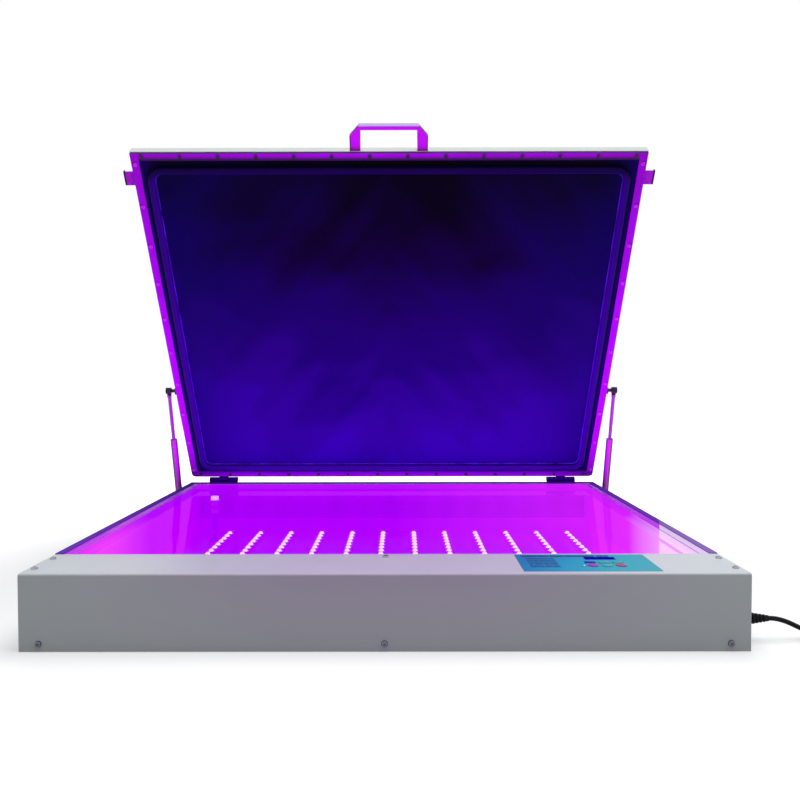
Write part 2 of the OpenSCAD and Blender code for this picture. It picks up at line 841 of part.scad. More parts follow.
fan_y = bay_y;
fan_z = sheet + fan_s / 2 + seat_gap;
fan_x = -inner_x;
fan_wall = 2;
bearing_t = 3;
bearing_in = 0.5;
shaft_r = 2;
module fan_frame() {
    color("black") translate([fan_x, fan_y, fan_z]) along_x(1) difference() {
        union() {
            linear_extrude(fan_t) difference() {
                square(fan_s, center = true);
                circle(fan_s / 2 - fan_wall);
            }
            translate([0, 0, fan_t - bearing_t - bearing_in]) linear_extrude(bearing_t) {
                circle(hub_r);
                for (a = [0 : 120 : 240]) rotate(a) {
                    translate([0, -2.5]) square([fan_s / 2 - fan_wall / 2, 5]);
                }
            }
        }
        translate([0, 0, -cut]) cylinder(r = shaft_r + run_gap, h = fan_t + 2 * cut);
    }
}

module fan_rotor() {
    rotor_t = fan_t - bearing_t - 4;
    color("dimgray") translate([fan_x + 3, fan_y, fan_z]) {
        along_x(1) cylinder(r = hub_r, h = rotor_t);
        along_x(1) cylinder(r = shaft_r, h = fan_t - bearing_in - 3);
        for (i = [0 : blades - 1]) rotate([i * 360 / blades, 0, 0]) {
            translate([rotor_t / 2, 0, hub_r - 1]) rotate([0, 0, 55]) {
                translate([-7.5, -0.75, 0]) cube([15, 1.5, fan_s / 2 - fan_wall - 3 - hub_r]);
            }
        }
    }
}

// ---------- power switch ----------

switch_y = front_y + switch_front;
switch_w = 22;
switch_h = 30;
switch_in = 20;
switch_lip = 2;
pocket_w = 13;
pocket_h = 25;
rocker_w = 12;
rocker_half = 11;
rock_x = half_w - 4;
trunnion_r = 1.5;
module switch_housing() {
    color("black") difference() {
        union() {
            block(half_w - switch_in, half_w + switch_lip, switch_y - switch_w / 2, switch_y + switch_w / 2,
                switch_z - switch_h / 2, switch_z + switch_h / 2);
            block(half_w, half_w + switch_lip, switch_y - switch_w / 2 - 2, switch_y + switch_w / 2 + 2,
                switch_z - switch_h / 2 - 2, switch_z + switch_h / 2 + 2);
        }
        block(rock_x - 6, half_w + switch_lip + cut, switch_y - pocket_w / 2, switch_y + pocket_w / 2,
            switch_z - pocket_h / 2, switch_z + pocket_h / 2);
        translate([rock_x, switch_y, switch_z]) rotate([90, 0, 0]) {
            cylinder(r = trunnion_r + run_gap, h = pocket_w + 4, center = true);
        }
    }
}

module switch_rocker() {
    color("firebrick") translate([rock_x, switch_y, switch_z]) rotate([0, -rock_angle, 0]) {
        rotate([90, 0, 0]) cylinder(r = 3, h = rocker_w, center = true);
        rotate([90, 0, 0]) cylinder(r = trunnion_r, h = pocket_w + 3.4, center = true);
        rotate([90, 0, 0]) translate([0, 0, -rocker_w / 2]) linear_extrude(rocker_w) {
            polygon([[-1, -rocker_half], [6, -rocker_half], [4.5, 0], [6, rocker_half], [-1, rocker_half]]);
        }
    }
}

// ---------- cord ----------

relief_neck_r = 7;
relief_nut_r = 10;
relief_nut_t = 6;
module strain_relief() {
    color("black") translate([half_w, cord_y, cord_z]) along_x(1) {
        cylinder(r = relief_r, h = 3);
        translate([0, 0, 3]) cylinder(r1 = relief_r - 1, r2 = cord_r + 2, h = relief_l - 3);
        translate([0, 0, -sheet - 1]) cylinder(r = relief_neck_r, h = sheet + 2);
        translate([0, 0, -sheet - relief_nut_t]) cylinder(r = relief_nut_r, h = relief_nut_t, $fn = 6);
    }
}

function unit(v) = v / norm(v);
function heading(p, i) = unit(p[min(i + 1, len(p) - 1)] - p[max(i - 1, 0)]);
function across(t) = unit(cross(t, [0, 0, 1]));
function ring_points(p, i, r, n) = [
    for (k = [0 : n - 1])
        let (t = heading(p, i), s = across(t), u = cross(s, t), a = 360 * k / n)
            p[i] + r * cos(a) * s + r * sin(a) * u
];

// A tube of n sides swept along the points of a route
module swept(p, r, n = 10) {
    rings = len(p);
    polyhedron(
        points = [for (i = [0 : rings - 1]) each ring_points(p, i, r, n)],
        faces = concat(
            [[for (k = [0 : n - 1]) k]],
            [for (i = [0 : rings - 2], k = [0 : n - 1])
                [i * n + k, (i + 1) * n + k, (i + 1) * n + (k + 1) % n, i * n + (k + 1) % n]],
            [[for (k = [n - 1 : -1 : 0]) (rings - 1) * n + k]]
        )
    );
}

// Eases from 0 to 1 as t goes from 0 to 1
function ease(t) = (1 - cos(180 * t)) / 2;
lead_route = [
    for (i = [0 : cord_steps])
        let (t = i / cord_steps)
            [half_w + relief_l + t * (coil_x - half_w - relief_l), cord_y + ease(t) * cord_shift,
                cord_z + ease(t) * (cord_r - cord_z)]
];
tail_route = [
    for (i = [0 : cord_steps])
        let (a = 90 * i / cord_steps)
            [coil_x + cord_side * cos(a), coil_y - (coil_y - plug_y) * sin(a),
                cord_r + ease(i / cord_steps) * (plug_z - cord_r)]
];
module cord_lead() { color("black") swept(lead_route, cord_r); }
module cord_tail() { color("black") swept(tail_route, cord_r); }
module cord_coil() {
    color("black") translate([coil_x, coil_y, 0]) rotate_extrude() {
        translate([coil_mid_r - coil_columns * cord_r, 0]) {
            square([2 * coil_columns * cord_r, 2 * coil_layers * cord_r]);
        }
    }
}

module mains_plug() {
    color("black") translate([coil_x, plug_y, plug_z]) {
        along_x(-1) cylinder(r1 = cord_r + 1, r2 = cord_r + 4, h = plug_neck);
        block(-plug_neck - plug_l, -plug_neck, -plug_w / 2, plug_w / 2, -plug_h / 2, plug_h / 2);
        for (y = [-1, 1]) {
            translate([-plug_neck - plug_l, y * 6.35, 0]) block(-blade_l, cut, -0.75, 0.75, -3.2, 3.2);
        }
        translate([-plug_neck - plug_l + cut, 0, 7.5]) along_x(-1) cylinder(r = 2.4, h = blade_l + 3);
    }
}

// ---------- hinges ----------

third = hinge_w / 3;
// Height of the leaf on the cabinet under the lid's knuckle, clear of it by seat_gap
leaf_to_axis = hinge_back - leaf_t;
knuckle_clear = knuckle_r + seat_gap;
riser_z = axis_z - sqrt(max(pow(seat_gap, 2), pow(knuckle_clear, 2) - pow(leaf_to_axis, 2)));
module knuckle(x0, x1, bore) {
    translate([x0, axis_y, axis_z]) along_x(1) difference() {
        cylinder(r = knuckle_r, h = x1 - x0);
        translate([0, 0, -cut]) cylinder(r = bore, h = x1 - x0 + 2 * cut);
    }
}

module hinge_base_leaves() {
    color("indigo") both_sides() difference() {
        union() {
            block(hinge_x - hinge_w / 2, hinge_x + hinge_w / 2, back_y, back_y + leaf_t,
                cab_h - leaf_h, cab_h - 1);
            for (x0 = [hinge_x - hinge_w / 2, hinge_x + hinge_w / 2 - third]) {
                difference() {
                    block(x0, x0 + third, back_y, back_y + leaf_t, cab_h - 2, axis_z);
                    translate([x0 - cut, axis_y, axis_z]) along_x(1) {
                        cylinder(r = pin_r + run_gap / 2, h = third + 2 * cut);
                    }
                }
                knuckle(x0, x0 + third, pin_r + run_gap / 2);
            }
            block(hinge_x - hinge_w / 2, hinge_x + hinge_w / 2, back_y, back_y + leaf_t, cab_h - 2, riser_z);
        }
        hinge_screw_places() cylinder(r = m4_r + hole_gap, h = 4 * leaf_t, center = true);
    }
}

module hinge_pins() {
    color("silver") both_sides() {
        translate([hinge_x - hinge_w / 2 - 1, axis_y, axis_z]) along_x(1) {
            cylinder(r = pin_r, h = hinge_w + 2);
        }
    }
}

module lid_leaf_screw_places() {
    for (x = [-1, 1]) {
        translate([hinge_x + x * hinge_w / 3, lid_back + leaf_t, tube_mid]) rotate([-90, 0, 0]) children();
    }
}

module hinge_lid_leaves() {
    color("indigo") lid_open() both_sides() difference() {
        union() {
            block(hinge_x - hinge_w / 2, hinge_x + hinge_w / 2, lid_back, lid_back + leaf_t,
                axis_z + knuckle_r + 1, lid_top - 1);
            difference() {
                block(hinge_x - third / 2 + seat_gap, hinge_x + third / 2 - seat_gap,
                    lid_back, lid_back + leaf_t, axis_z, lid_top - 1);
                translate([hinge_x - third, axis_y, axis_z]) along_x(1) {
                    cylinder(r = pin_r + run_gap, h = 2 * third);
                }
            }
            knuckle(hinge_x - third / 2 + seat_gap, hinge_x + third / 2 - seat_gap, pin_r + run_gap);
        }
        lid_leaf_screw_places() cylinder(r = m4_r + hole_gap, h = 4 * leaf_t, center = true);
    }
}

// ---------- lid ----------

module clamp_screw_places() {
    end_pitch = (cab_w - 2 * screw_in) / (end_screws - 1);
    side_pitch = (lid_l - 2 * screw_in) / (side_screws - 1);
    for (i = [0 : end_screws - 1], y = [edge_front + bar_w / 2, edge_back - bar_w / 2]) {
        translate([screw_in - half_w + i * end_pitch, y, bar_z]) children();
    }
    for (i = [0 : side_screws - 1], sx = [-1, 1]) {
        translate([sx * (edge_x - bar_w / 2), lid_front + screw_in + i * side_pitch, bar_z]) children();
    }
}

module keeper_screw_places() {
    both_sides() for (y = [-1, 1]) {
        translate([half_w + keeper_t, latch_y + y * keeper_w / 4, lid_top - 6]) along_x(1) children();
    }
}

handle_screw_r = 3;
module handle_screw_places() {
    for (sx = [-1, 1]) {
        translate([sx * (handle_w - leg_w) / 2, lid_front, tube_mid]) rotate([90, 0, 0]) children();
    }
}

module lid_frame() {
    color("lightgray") lid_open() difference() {
        column(half_w, lid_front, lid_back, lid_corner, tube_z, lid_top);
        block(tube_s - half_w, half_w - tube_s, lid_front + tube_s, lid_back - tube_s,
            tube_z - cut, lid_top + cut);
        difference() {
            column(half_w - tube_wall, lid_front + tube_wall, lid_back - tube_wall, lid_corner - tube_wall,
                tube_z + tube_wall, lid_top - tube_wall);
            block(tube_s - tube_wall - half_w, half_w - tube_s + tube_wall, lid_front + tube_s - tube_wall,
                lid_back - tube_s + tube_wall, tube_z, lid_top);
        }
        clamp_screw_places() cylinder(r = m4_r + hole_gap, h = clamp_screw_l + 1);
        handle_screw_places() cylinder(r = handle_screw_r + hole_gap, h = 4 * tube_wall, center = true);
        keeper_screw_places() cylinder(r = m4_r + hole_gap, h = 4 * (tube_wall + keeper_t), center = true);
        both_sides() lid_leaf_screw_places() {
            cylinder(r = m4_r + hole_gap, h = 4 * (tube_wall + leaf_t), center = true);
        }
    }
}

module vacuum_blanket() {
    color("darkslateblue") lid_open() {
        difference() {
            column(edge_x, edge_front, edge_back, lid_corner - bar_inset, blanket_z, tube_z);
            clamp_screw_places() cylinder(r = m4_r + hole_gap, h = clamp_screw_l + 1);
        }
        bead(0, bead_h - bead_round);
        bead(bead_round, bead_h);
    }
}

// The bead from its root in the blanket down to a depth, narrowed on both sides by pull
module bead(pull, depth) {
    o = bead_in + pull;
    i = bead_in + bead_w - pull;
    translate([0, 0, blanket_z - depth]) linear_extrude(depth + blanket_t / 2) difference() {
        rounded(half_w - o, lid_front + o, lid_back - o, bead_r + bead_w - pull);
        rounded(half_w - i, lid_front + i, lid_back - i, bead_r + pull);
    }
}

module clamp_bars() {
    color("mediumpurple") lid_open() difference() {
        column(edge_x, edge_front, edge_back, lid_corner - bar_inset, bar_z, blanket_z);
        translate([0, 0, bar_z - cut]) linear_extrude(bar_t + 2 * cut) {
            rounded(edge_x - bar_w, edge_front + bar_w, edge_back - bar_w, bar_inner_r);
        }
        clamp_screw_places() translate([0, 0, -cut]) cylinder(r = m4_r + hole_gap, h = bar_t + 2 * cut);
    }
}

clamp_screw_l = bar_t + blanket_t + tube_wall + 3;
module clamp_screws() {
    color("slategray") lid_open() clamp_screw_places() mirror([0, 0, 1]) {
        pan_screw(m4_r, clamp_screw_l, m4_head_r, m4_head_h);
    }
}

module lid_handle() {
    leg_in = handle_w / 2 - leg_w;
    color("silver") lid_open() translate([0, lid_front, tube_mid - handle_t / 2]) difference() {
        mirror([0, 1, 0]) linear_extrude(handle_t) difference() {
            polygon([[-handle_w / 2, 0], [-handle_w / 2, leg_straight], [-grip_w / 2, handle_reach],
                [grip_w / 2, handle_reach], [handle_w / 2, leg_straight], [handle_w / 2, 0]]);
            polygon([[-leg_in, -cut], [1 - leg_in, handle_reach - grip_t],
                [leg_in - 1, handle_reach - grip_t], [leg_in, -cut]]);
        }
        for (sx = [-1, 1]) {
            translate([sx * (handle_w - leg_w) / 2, cut, handle_t / 2]) rotate([90, 0, 0]) {
                cylinder(r = handle_screw_r + run_gap, h = handle_screw_l + cut + seat_gap);
            }
        }
    }
}

handle_screw_l = 14;
module handle_screws() {
    color("slategray") lid_open() handle_screw_places() {
        translate([0, 0, -tube_wall]) cylinder(r = handle_screw_r, h = handle_screw_l + tube_wall);
        translate([0, 0, -tube_wall - 4]) cylinder(r = 5.5, h = 4, $fn = 6);
    }
}

module keepers() {
    color("silver") lid_open() difference() {
        both_sides() {
            block(half_w, half_w + keeper_t, latch_y - keeper_w / 2, latch_y + keeper_w / 2,
                flange_z, lid_top - 1);
            block(half_w, half_w + keeper_reach, latch_y - keeper_w / 2, latch_y + keeper_w / 2,
                flange_z, flange_z + keeper_t);
            block(half_w + keeper_reach - keeper_t, half_w + keeper_reach, latch_y - keeper_w / 2,
                latch_y + keeper_w / 2, flange_z, flange_z + keeper_t + keeper_lip);
        }
        keeper_screw_places() cylinder(r = m4_r + hole_gap, h = 4 * keeper_t, center = true);
    }
}

module lid_hardware_screws() {
    color("slategray") lid_open() {
        keeper_screw_places() pan_screw(m4_r, hardware_screw_l + keeper_t, m4_head_r, m4_head_h);
        both_sides() lid_leaf_screw_places() {
            pan_screw(m4_r, hardware_screw_l + leaf_t, m4_head_r, m4_head_h);
        }
    }
}

// ---------- gas springs ----------

stud_disc_r = 9;
stud_disc_t = 3;
collar_r = 6;
module lid_gas_studs() {
    color("silver") lid_open() both_sides() {
        translate([half_w, lid_back - gas_lid_back, lid_mid]) along_x(1) {
            cylinder(r = stud_disc_r, h = stud_disc_t);
            cylinder(r = stud_r, h = gas_out - eye_w / 2 - seat_gap);
        }
    }
}

module base_gas_studs() {
    color("silver") both_sides() translate([half_w, low_y, low_z]) along_x(1) {
        cylinder(r = stud_disc_r, h = stud_disc_t);
        cylinder(r = collar_r, h = gas_out - eye_w / 2 - seat_gap);
        cylinder(r = stud_r, h = gas_out + eye_w / 2 + 2);
        translate([0, 0, gas_out + eye_w / 2 + seat_gap]) cylinder(r = collar_r, h = 2);
    }
}

// Places what is drawn on the right-hand gas spring, with Z from the lower stud to the upper one
module gas_spring(side) {
    translate([side * gas_x, low_y, low_z]) rotate([gas_tilt, 0, 0]) children();
}

module gas_tube(side) {
    color("mediumorchid") gas_spring(side) difference() {
        union() {
            translate([-eye_w / 2, 0, 0]) along_x(1) cylinder(r = eye_r, h = eye_w);
            cylinder(r = 5, h = eye_r + 10);
            translate([0, 0, eye_r + 5]) cylinder(r = gas_r, h = gas_tube_l - eye_r - 5);
        }
        translate([-eye_w, 0, 0]) along_x(1) cylinder(r = stud_r + run_gap, h = 2 * eye_w);
        translate([0, 0, eye_r + 10]) cylinder(r = gas_bore_r, h = gas_tube_l - gland_l - eye_r - 10);
        translate([0, 0, gas_tube_l - gland_l - cut]) cylinder(r = rod_r + run_gap, h = gland_l + 2 * cut);
    }
}
module left_gas_tube() { gas_tube(-1); }
module right_gas_tube() { gas_tube(1); }

module gas_rod(side) {
    color("plum") gas_spring(side) {
        translate([-eye_w / 2, 0, gas_l]) along_x(1) cylinder(r = eye_r, h = eye_w);
        translate([0, 0, gas_l - eye_r - 9]) cylinder(r = 5, h = 12);
        translate([0, 0, piston_low]) cylinder(r = rod_r, h = gas_l - piston_low - eye_r);
        translate([0, 0, piston_low]) cylinder(r = gas_bore_r - run_gap, h = piston_l);
    }
}
module left_gas_rod() { gas_rod(-1); }
module right_gas_rod() { gas_rod(1); }

// ---------- latches ----------

ear_y = lever_w / 2 + seat_gap;
module latch_plates() {
    color("silver") both_sides() difference() {
        union() {
            block(half_w, half_w + keeper_t, latch_y - ear_y - ear_t, latch_y + ear_y + ear_t,
                pivot_z - lever_l, pivot_z + ear_r);
            for (y = [-ear_y - ear_t, ear_y]) {
                block(half_w, half_w + latch_out, latch_y + y, latch_y + y + ear_t,
                    pivot_z - ear_r, pivot_z + ear_r);
                translate([half_w + latch_out, latch_y + y, pivot_z]) rotate([-90, 0, 0]) {
                    cylinder(r = ear_r, h = ear_t);
                }
            }
            translate([half_w + latch_out, latch_y - ear_y - ear_t, pivot_z]) rotate([-90, 0, 0]) {
                cylinder(r = latch_pin_r, h = 2 * (ear_y + ear_t));
            }
        }
        latch_screw_places() cylinder(r = m4_r + hole_gap, h = 4 * keeper_t, center = true);
    }
}

cheek_t = 2;
module latch_lever() {
    plate_x = half_w + latch_out + ear_r;
    color("gainsboro") difference() {
        union() {
            block(plate_x, plate_x + lever_t, latch_y - lever_w / 2, latch_y + lever_w / 2,
                pivot_z - lever_l, pivot_z + 3);
            for (y = [-lever_w / 2, lever_w / 2 - cheek_t]) {
                block(half_w + latch_out - 4, plate_x + lever_t, latch_y + y, latch_y + y + cheek_t,
                    bail_z - 4, pivot_z + 3);
            }
        }
        for (z = [pivot_z, bail_z]) {
            r = z == pivot_z ? latch_pin_r : wire_r;
            translate([half_w + latch_out, latch_y - lever_w, z]) rotate([-90, 0, 0]) {
                cylinder(r = r + run_gap, h = 2 * lever_w);
            }
        }
    }
}
module right_latch_lever() { latch_lever(); }
module left_latch_lever() { mirror([1, 0, 0]) latch_lever(); }

module latch_bail() {
    color("silver") translate([half_w + latch_out, latch_y, bail_z]) {
        for (s = [-1, 1]) {
            translate([0, s * arm_y, -bail_l]) cylinder(r = wire_r, h = bail_l);
            translate([0, s * arm_y, 0]) sphere(wire_r);
            translate([0, s * arm_y, -bail_l]) sphere(wire_r);
            translate([0, s * arm_y, 0]) rotate([s * 90, 0, 0]) {
                cylinder(r = wire_r, h = arm_y - lever_w / 2 + cheek_t);
            }
        }
        translate([0, arm_y, -bail_l]) rotate([90, 0, 0]) cylinder(r = wire_r, h = 2 * arm_y);
    }
}
module right_latch_bail() { latch_bail(); }
module left_latch_bail() { mirror([1, 0, 0]) latch_bail(); }

// ---------- parts ----------

cabinet_pan();
front_cover();
glass_ledge();
glass_gasket();
compartment_wall();
reflector_tray();
led_strips();
exposure_glass();
rim_strips();
suction_port();
port_nut();
vacuum_hose();
pump_motor();
pump_head();
pump_base();
left_power_supply();
right_power_supply();
control_board();
display_module();
control_label();
wiring_loom();
fan_frame();
fan_rotor();
switch_housing();
switch_rocker();
strain_relief();
cord_lead();
cord_coil();
cord_tail();
mains_plug();
cover_screws();
hinge_base_leaves();
hinge_pins();
base_gas_studs();
latch_plates();
base_hardware_screws();
lid_frame();
vacuum_blanket();
clamp_bars();
clamp_screws();
lid_handle();
handle_screws();
keepers();
hinge_lid_leaves();
lid_gas_studs();
lid_hardware_screws();
left_gas_tube();
right_gas_tube();
left_gas_rod();
right_gas_rod();
left_latch_lever();
right_latch_lever();
left_latch_bail();
right_latch_bail();
set_key();
minus_key();
plus_key();
vacuum_key();
start_key();
stop_key();
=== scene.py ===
"""Tabletop vacuum exposure unit for screen printing, dressed over its solid model.

Sizes are in millimetres, in the model's own frame: X runs to the right, Y to the back and Z up, with the
origin under the middle of the cabinet. The lid's pieces are drawn on the shut lid and swung open. Places and
lengths inside the finishes are in metres, as their nodes read them.
"""

from __future__ import annotations

import json
import logging
import math
from collections.abc import Sequence
from dataclasses import dataclass, field
from enum import Enum

import bmesh
import bpy
from mathutils import Matrix, Vector

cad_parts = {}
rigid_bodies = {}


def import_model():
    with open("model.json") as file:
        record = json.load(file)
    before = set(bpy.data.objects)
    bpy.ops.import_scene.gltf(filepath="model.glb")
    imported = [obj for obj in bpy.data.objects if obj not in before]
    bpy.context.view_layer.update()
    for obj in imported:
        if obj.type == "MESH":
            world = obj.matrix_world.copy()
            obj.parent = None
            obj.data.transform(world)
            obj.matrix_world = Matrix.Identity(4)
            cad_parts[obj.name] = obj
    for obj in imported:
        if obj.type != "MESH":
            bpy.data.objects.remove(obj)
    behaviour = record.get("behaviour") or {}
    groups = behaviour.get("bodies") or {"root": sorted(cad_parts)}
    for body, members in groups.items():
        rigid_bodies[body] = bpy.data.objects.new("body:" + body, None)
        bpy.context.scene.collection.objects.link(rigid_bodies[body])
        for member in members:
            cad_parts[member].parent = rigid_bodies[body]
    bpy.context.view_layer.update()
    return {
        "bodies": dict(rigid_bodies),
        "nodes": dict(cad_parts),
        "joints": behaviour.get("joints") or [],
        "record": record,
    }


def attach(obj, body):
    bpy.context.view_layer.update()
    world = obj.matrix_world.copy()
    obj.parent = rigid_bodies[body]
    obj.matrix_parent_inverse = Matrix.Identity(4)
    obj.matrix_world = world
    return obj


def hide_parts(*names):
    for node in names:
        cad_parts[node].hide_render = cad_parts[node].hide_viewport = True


LOG = logging.getLogger("exposure_unit")
MM = 0.001
Colour = tuple[float, float, float]
Point = tuple[float, float, float]
Pair = tuple[float, float]


# ---------------------------------------------------------------- drawing


class Axis(Enum):
    """A direction that a turned shape's own Z is laid along."""

    RIGHT = (1, 0, 0)
    FRONT = (0, -1, 0)
    UP = (0, 0, 1)
    DOWN = (0, 0, -1)

    def turn(self) -> Matrix:
        """The rotation that takes Z to this direction."""
        return Vector((0, 0, 1)).rotation_difference(Vector(self.value)).to_matrix().to_4x4()


def at(x: float, y: float, z: float, axis: Axis = Axis.UP) -> Matrix:
    """The placement that moves a shape to a point with its Z along an axis."""
    return Matrix.Translation((x, y, z)) @ axis.turn()


class Form:
    """A mesh being made, in millimetres; points nearer than a join's length become one."""

    NODE_JOIN = 0.004
    TURN_JOIN = 0.001

    def __init__(self) -> None:
        """Starts an empty mesh."""
        self.bm = bmesh.new()

    @classmethod
    def of_node(cls, node: bpy.types.Object, flat: float = 0.6) -> "Form":
        """Copies a node's mesh and joins its loose triangles into whole faces.

        Args:
            node: The node's object.
            flat: The angle in degrees below which neighbouring faces become one.

        Returns:
            The joined copy.
        """
        form = cls()
        form.bm.from_mesh(node.data)
        bmesh.ops.scale(form.bm, vec=(1 / MM,) * 3, verts=form.bm.verts)
        bmesh.ops.remove_doubles(form.bm, verts=form.bm.verts, dist=cls.NODE_JOIN)
        bmesh.ops.dissolve_limit(
            form.bm, angle_limit=math.radians(flat), verts=form.bm.verts, edges=form.bm.edges, delimit=set()
        )
        return form

    def block(self, low: Point, high: Point) -> list[bmesh.types.BMVert]:
        """Adds a box between two corners and returns its vertices.

        Args:
            low: One corner.
            high: The opposite corner.

        Returns:
            Its vertices.
        """
        verts = bmesh.ops.create_cube(self.bm, size=1)["verts"]
        size = [b - a for a, b in zip(low, high)]
        bmesh.ops.scale(self.bm, vec=size, verts=verts)
        bmesh.ops.translate(self.bm, vec=[(a + b) / 2 for a, b in zip(low, high)], verts=verts)
        return verts

    def turned(
        self, profile: Sequence[Pair], steps: int, place: Matrix | None = None
    ) -> list[bmesh.types.BMVert]:
        """Adds a shape turned about Z.

        Args:
            profile: Radius and height of each corner; it starts and ends on the axis, or closes on itself.
            steps: How many steps make the full turn.
            place: Where the shape goes.

        Returns:
            Its vertices.
        """
        before = set(self.bm.verts)
        line = [self.bm.verts.new((r, 0, z)) for r, z in profile]
        edges = [self.bm.edges.new(pair) for pair in zip(line, line[1:])]
        bmesh.ops.spin(
            self.bm, geom=line + edges, axis=(0, 0, 1), cent=(0, 0, 0), steps=steps,
            angle=math.tau, use_merge=True, use_duplicate=False,
        )
        made = [v for v in self.bm.verts if v not in before]
        bmesh.ops.remove_doubles(self.bm, verts=made, dist=self.TURN_JOIN)
        made = [v for v in made if v.is_valid]
        faces = list({f for v in made for f in v.link_faces})
        bmesh.ops.recalc_face_normals(self.bm, faces=faces)
        if place is not None:
            bmesh.ops.transform(self.bm, matrix=place, verts=made)
        return made

    def plate(
        self, low: Pair, high: Pair, radius: float, segments: int = 6, z: float = 0
    ) -> bmesh.types.BMFace:
        """Adds a flat plate with round corners.

        Args:
            low: Its near left corner.
            high: Its far right corner.
            radius: The radius of its corners.
            segments: How many steps round a corner takes.
            z: Its height.

        Returns:
            Its one face.
        """
        verts = bmesh.ops.create_grid(self.bm, x_segments=1, y_segments=1, size=0.5)["verts"]
        bmesh.ops.scale(self.bm, vec=(high[0] - low[0], high[1] - low[1], 1), verts=verts)
        bmesh.ops.translate(self.bm, vec=((low[0] + high[0]) / 2, (low[1] + high[1]) / 2, z), verts=verts)
        if radius > 0:
            verts = bmesh.ops.bevel(
                self.bm, geom=verts, offset=radius, offset_type="OFFSET", affect="VERTICES",
                segments=segments, profile=0.5, material=-1,
            )["verts"]
        return verts[0].link_faces[0]

    def ring(
        self, low: Pair, high: Pair, radius: float, width: float,
        z: float, height: float, segments: int = 6,
    ) -> list[bmesh.types.BMVert]:
        """Adds a flat frame of a width along the inside of a rectangle with round corners.

        Args:
            low: The rectangle's near left corner.
            high: Its far right corner.
            radius: The radius of its corners.
            width: How wide the frame is.
            z: The height of its one side.
            height: How far it is raised from there.
            segments: How many steps round a corner takes.

        Returns:
            The vertices of the raised side.
        """
        face = self.plate(low, high, radius, segments, z)
        rim = bmesh.ops.inset_region(
            self.bm, faces=[face], thickness=width, use_even_offset=True, use_boundary=True
        )["faces"]
        bmesh.ops.delete(self.bm, geom=[face], context="FACES")
        made = bmesh.ops.extrude_face_region(self.bm, geom=rim, use_keep_orig=True)["geom"]
        verts = [g for g in made if isinstance(g, bmesh.types.BMVert)]
        bmesh.ops.translate(self.bm, vec=(0, 0, height), verts=verts)
        bmesh.ops.recalc_face_normals(self.bm, faces=list({f for v in verts for f in v.link_faces} | set(rim)))
        return verts

    def bevelled(self, width: float, segments: int = 2, angle: float = 30) -> "Form":
        """Rounds every edge sharper than an angle.

        Args:
            width: The width of the rounding.
            segments: How many steps it has.
            angle: Edges sharper than this many degrees are rounded.

        Returns:
            The form.
        """
        sharp = [
            e for e in self.bm.edges
            if len(e.link_faces) == 2 and math.degrees(e.calc_face_angle(0)) > angle
        ]
        bmesh.ops.bevel(
            self.bm, geom=sharp, offset=width, offset_type="OFFSET", affect="EDGES", segments=segments,
            profile=0.5, material=-1, clamp_overlap=True, loop_slide=True,
        )
        return self

    def moved(self, place: Matrix) -> "Form":
        """Moves the whole form and returns it."""
        bmesh.ops.transform(self.bm, matrix=place, verts=self.bm.verts)
        return self

    def with_copies(self, places: Sequence[Matrix]) -> "Form":
        """Repeats the form at each place and returns it.

        Args:
            places: Where each copy goes.

        Returns:
            The form.
        """
        source = list(self.bm.verts) + list(self.bm.edges) + list(self.bm.faces)
        for place in places[1:]:
            copy = bmesh.ops.duplicate(self.bm, geom=source)["geom"]
            verts = [g for g in copy if isinstance(g, bmesh.types.BMVert)]
            bmesh.ops.transform(self.bm, matrix=place, verts=verts)
        own = [g for g in source if isinstance(g, bmesh.types.BMVert)]
        bmesh.ops.transform(self.bm, matrix=places[0], verts=own)
        return self

    def to_object(self, name: str, smooth: float = 32) -> bpy.types.Object:
        """Turns the form into an object in metres.

        Args:
            name: The object's name.
            smooth: The angle in degrees above which an edge stays sharp.

        Returns:
            The object, at the origin.
        """
        bmesh.ops.scale(self.bm, vec=(MM,) * 3, verts=self.bm.verts)
        mesh = bpy.data.meshes.new(name)
        self.bm.to_mesh(mesh)
        self.bm.free()
        mesh.shade_smooth()
        mesh.set_sharp_from_angle(angle=math.radians(smooth))
        made = bpy.data.objects.new(name, mesh)
        bpy.context.scene.collection.objects.link(made)
        return made


# ---------------------------------------------------------------- finishes


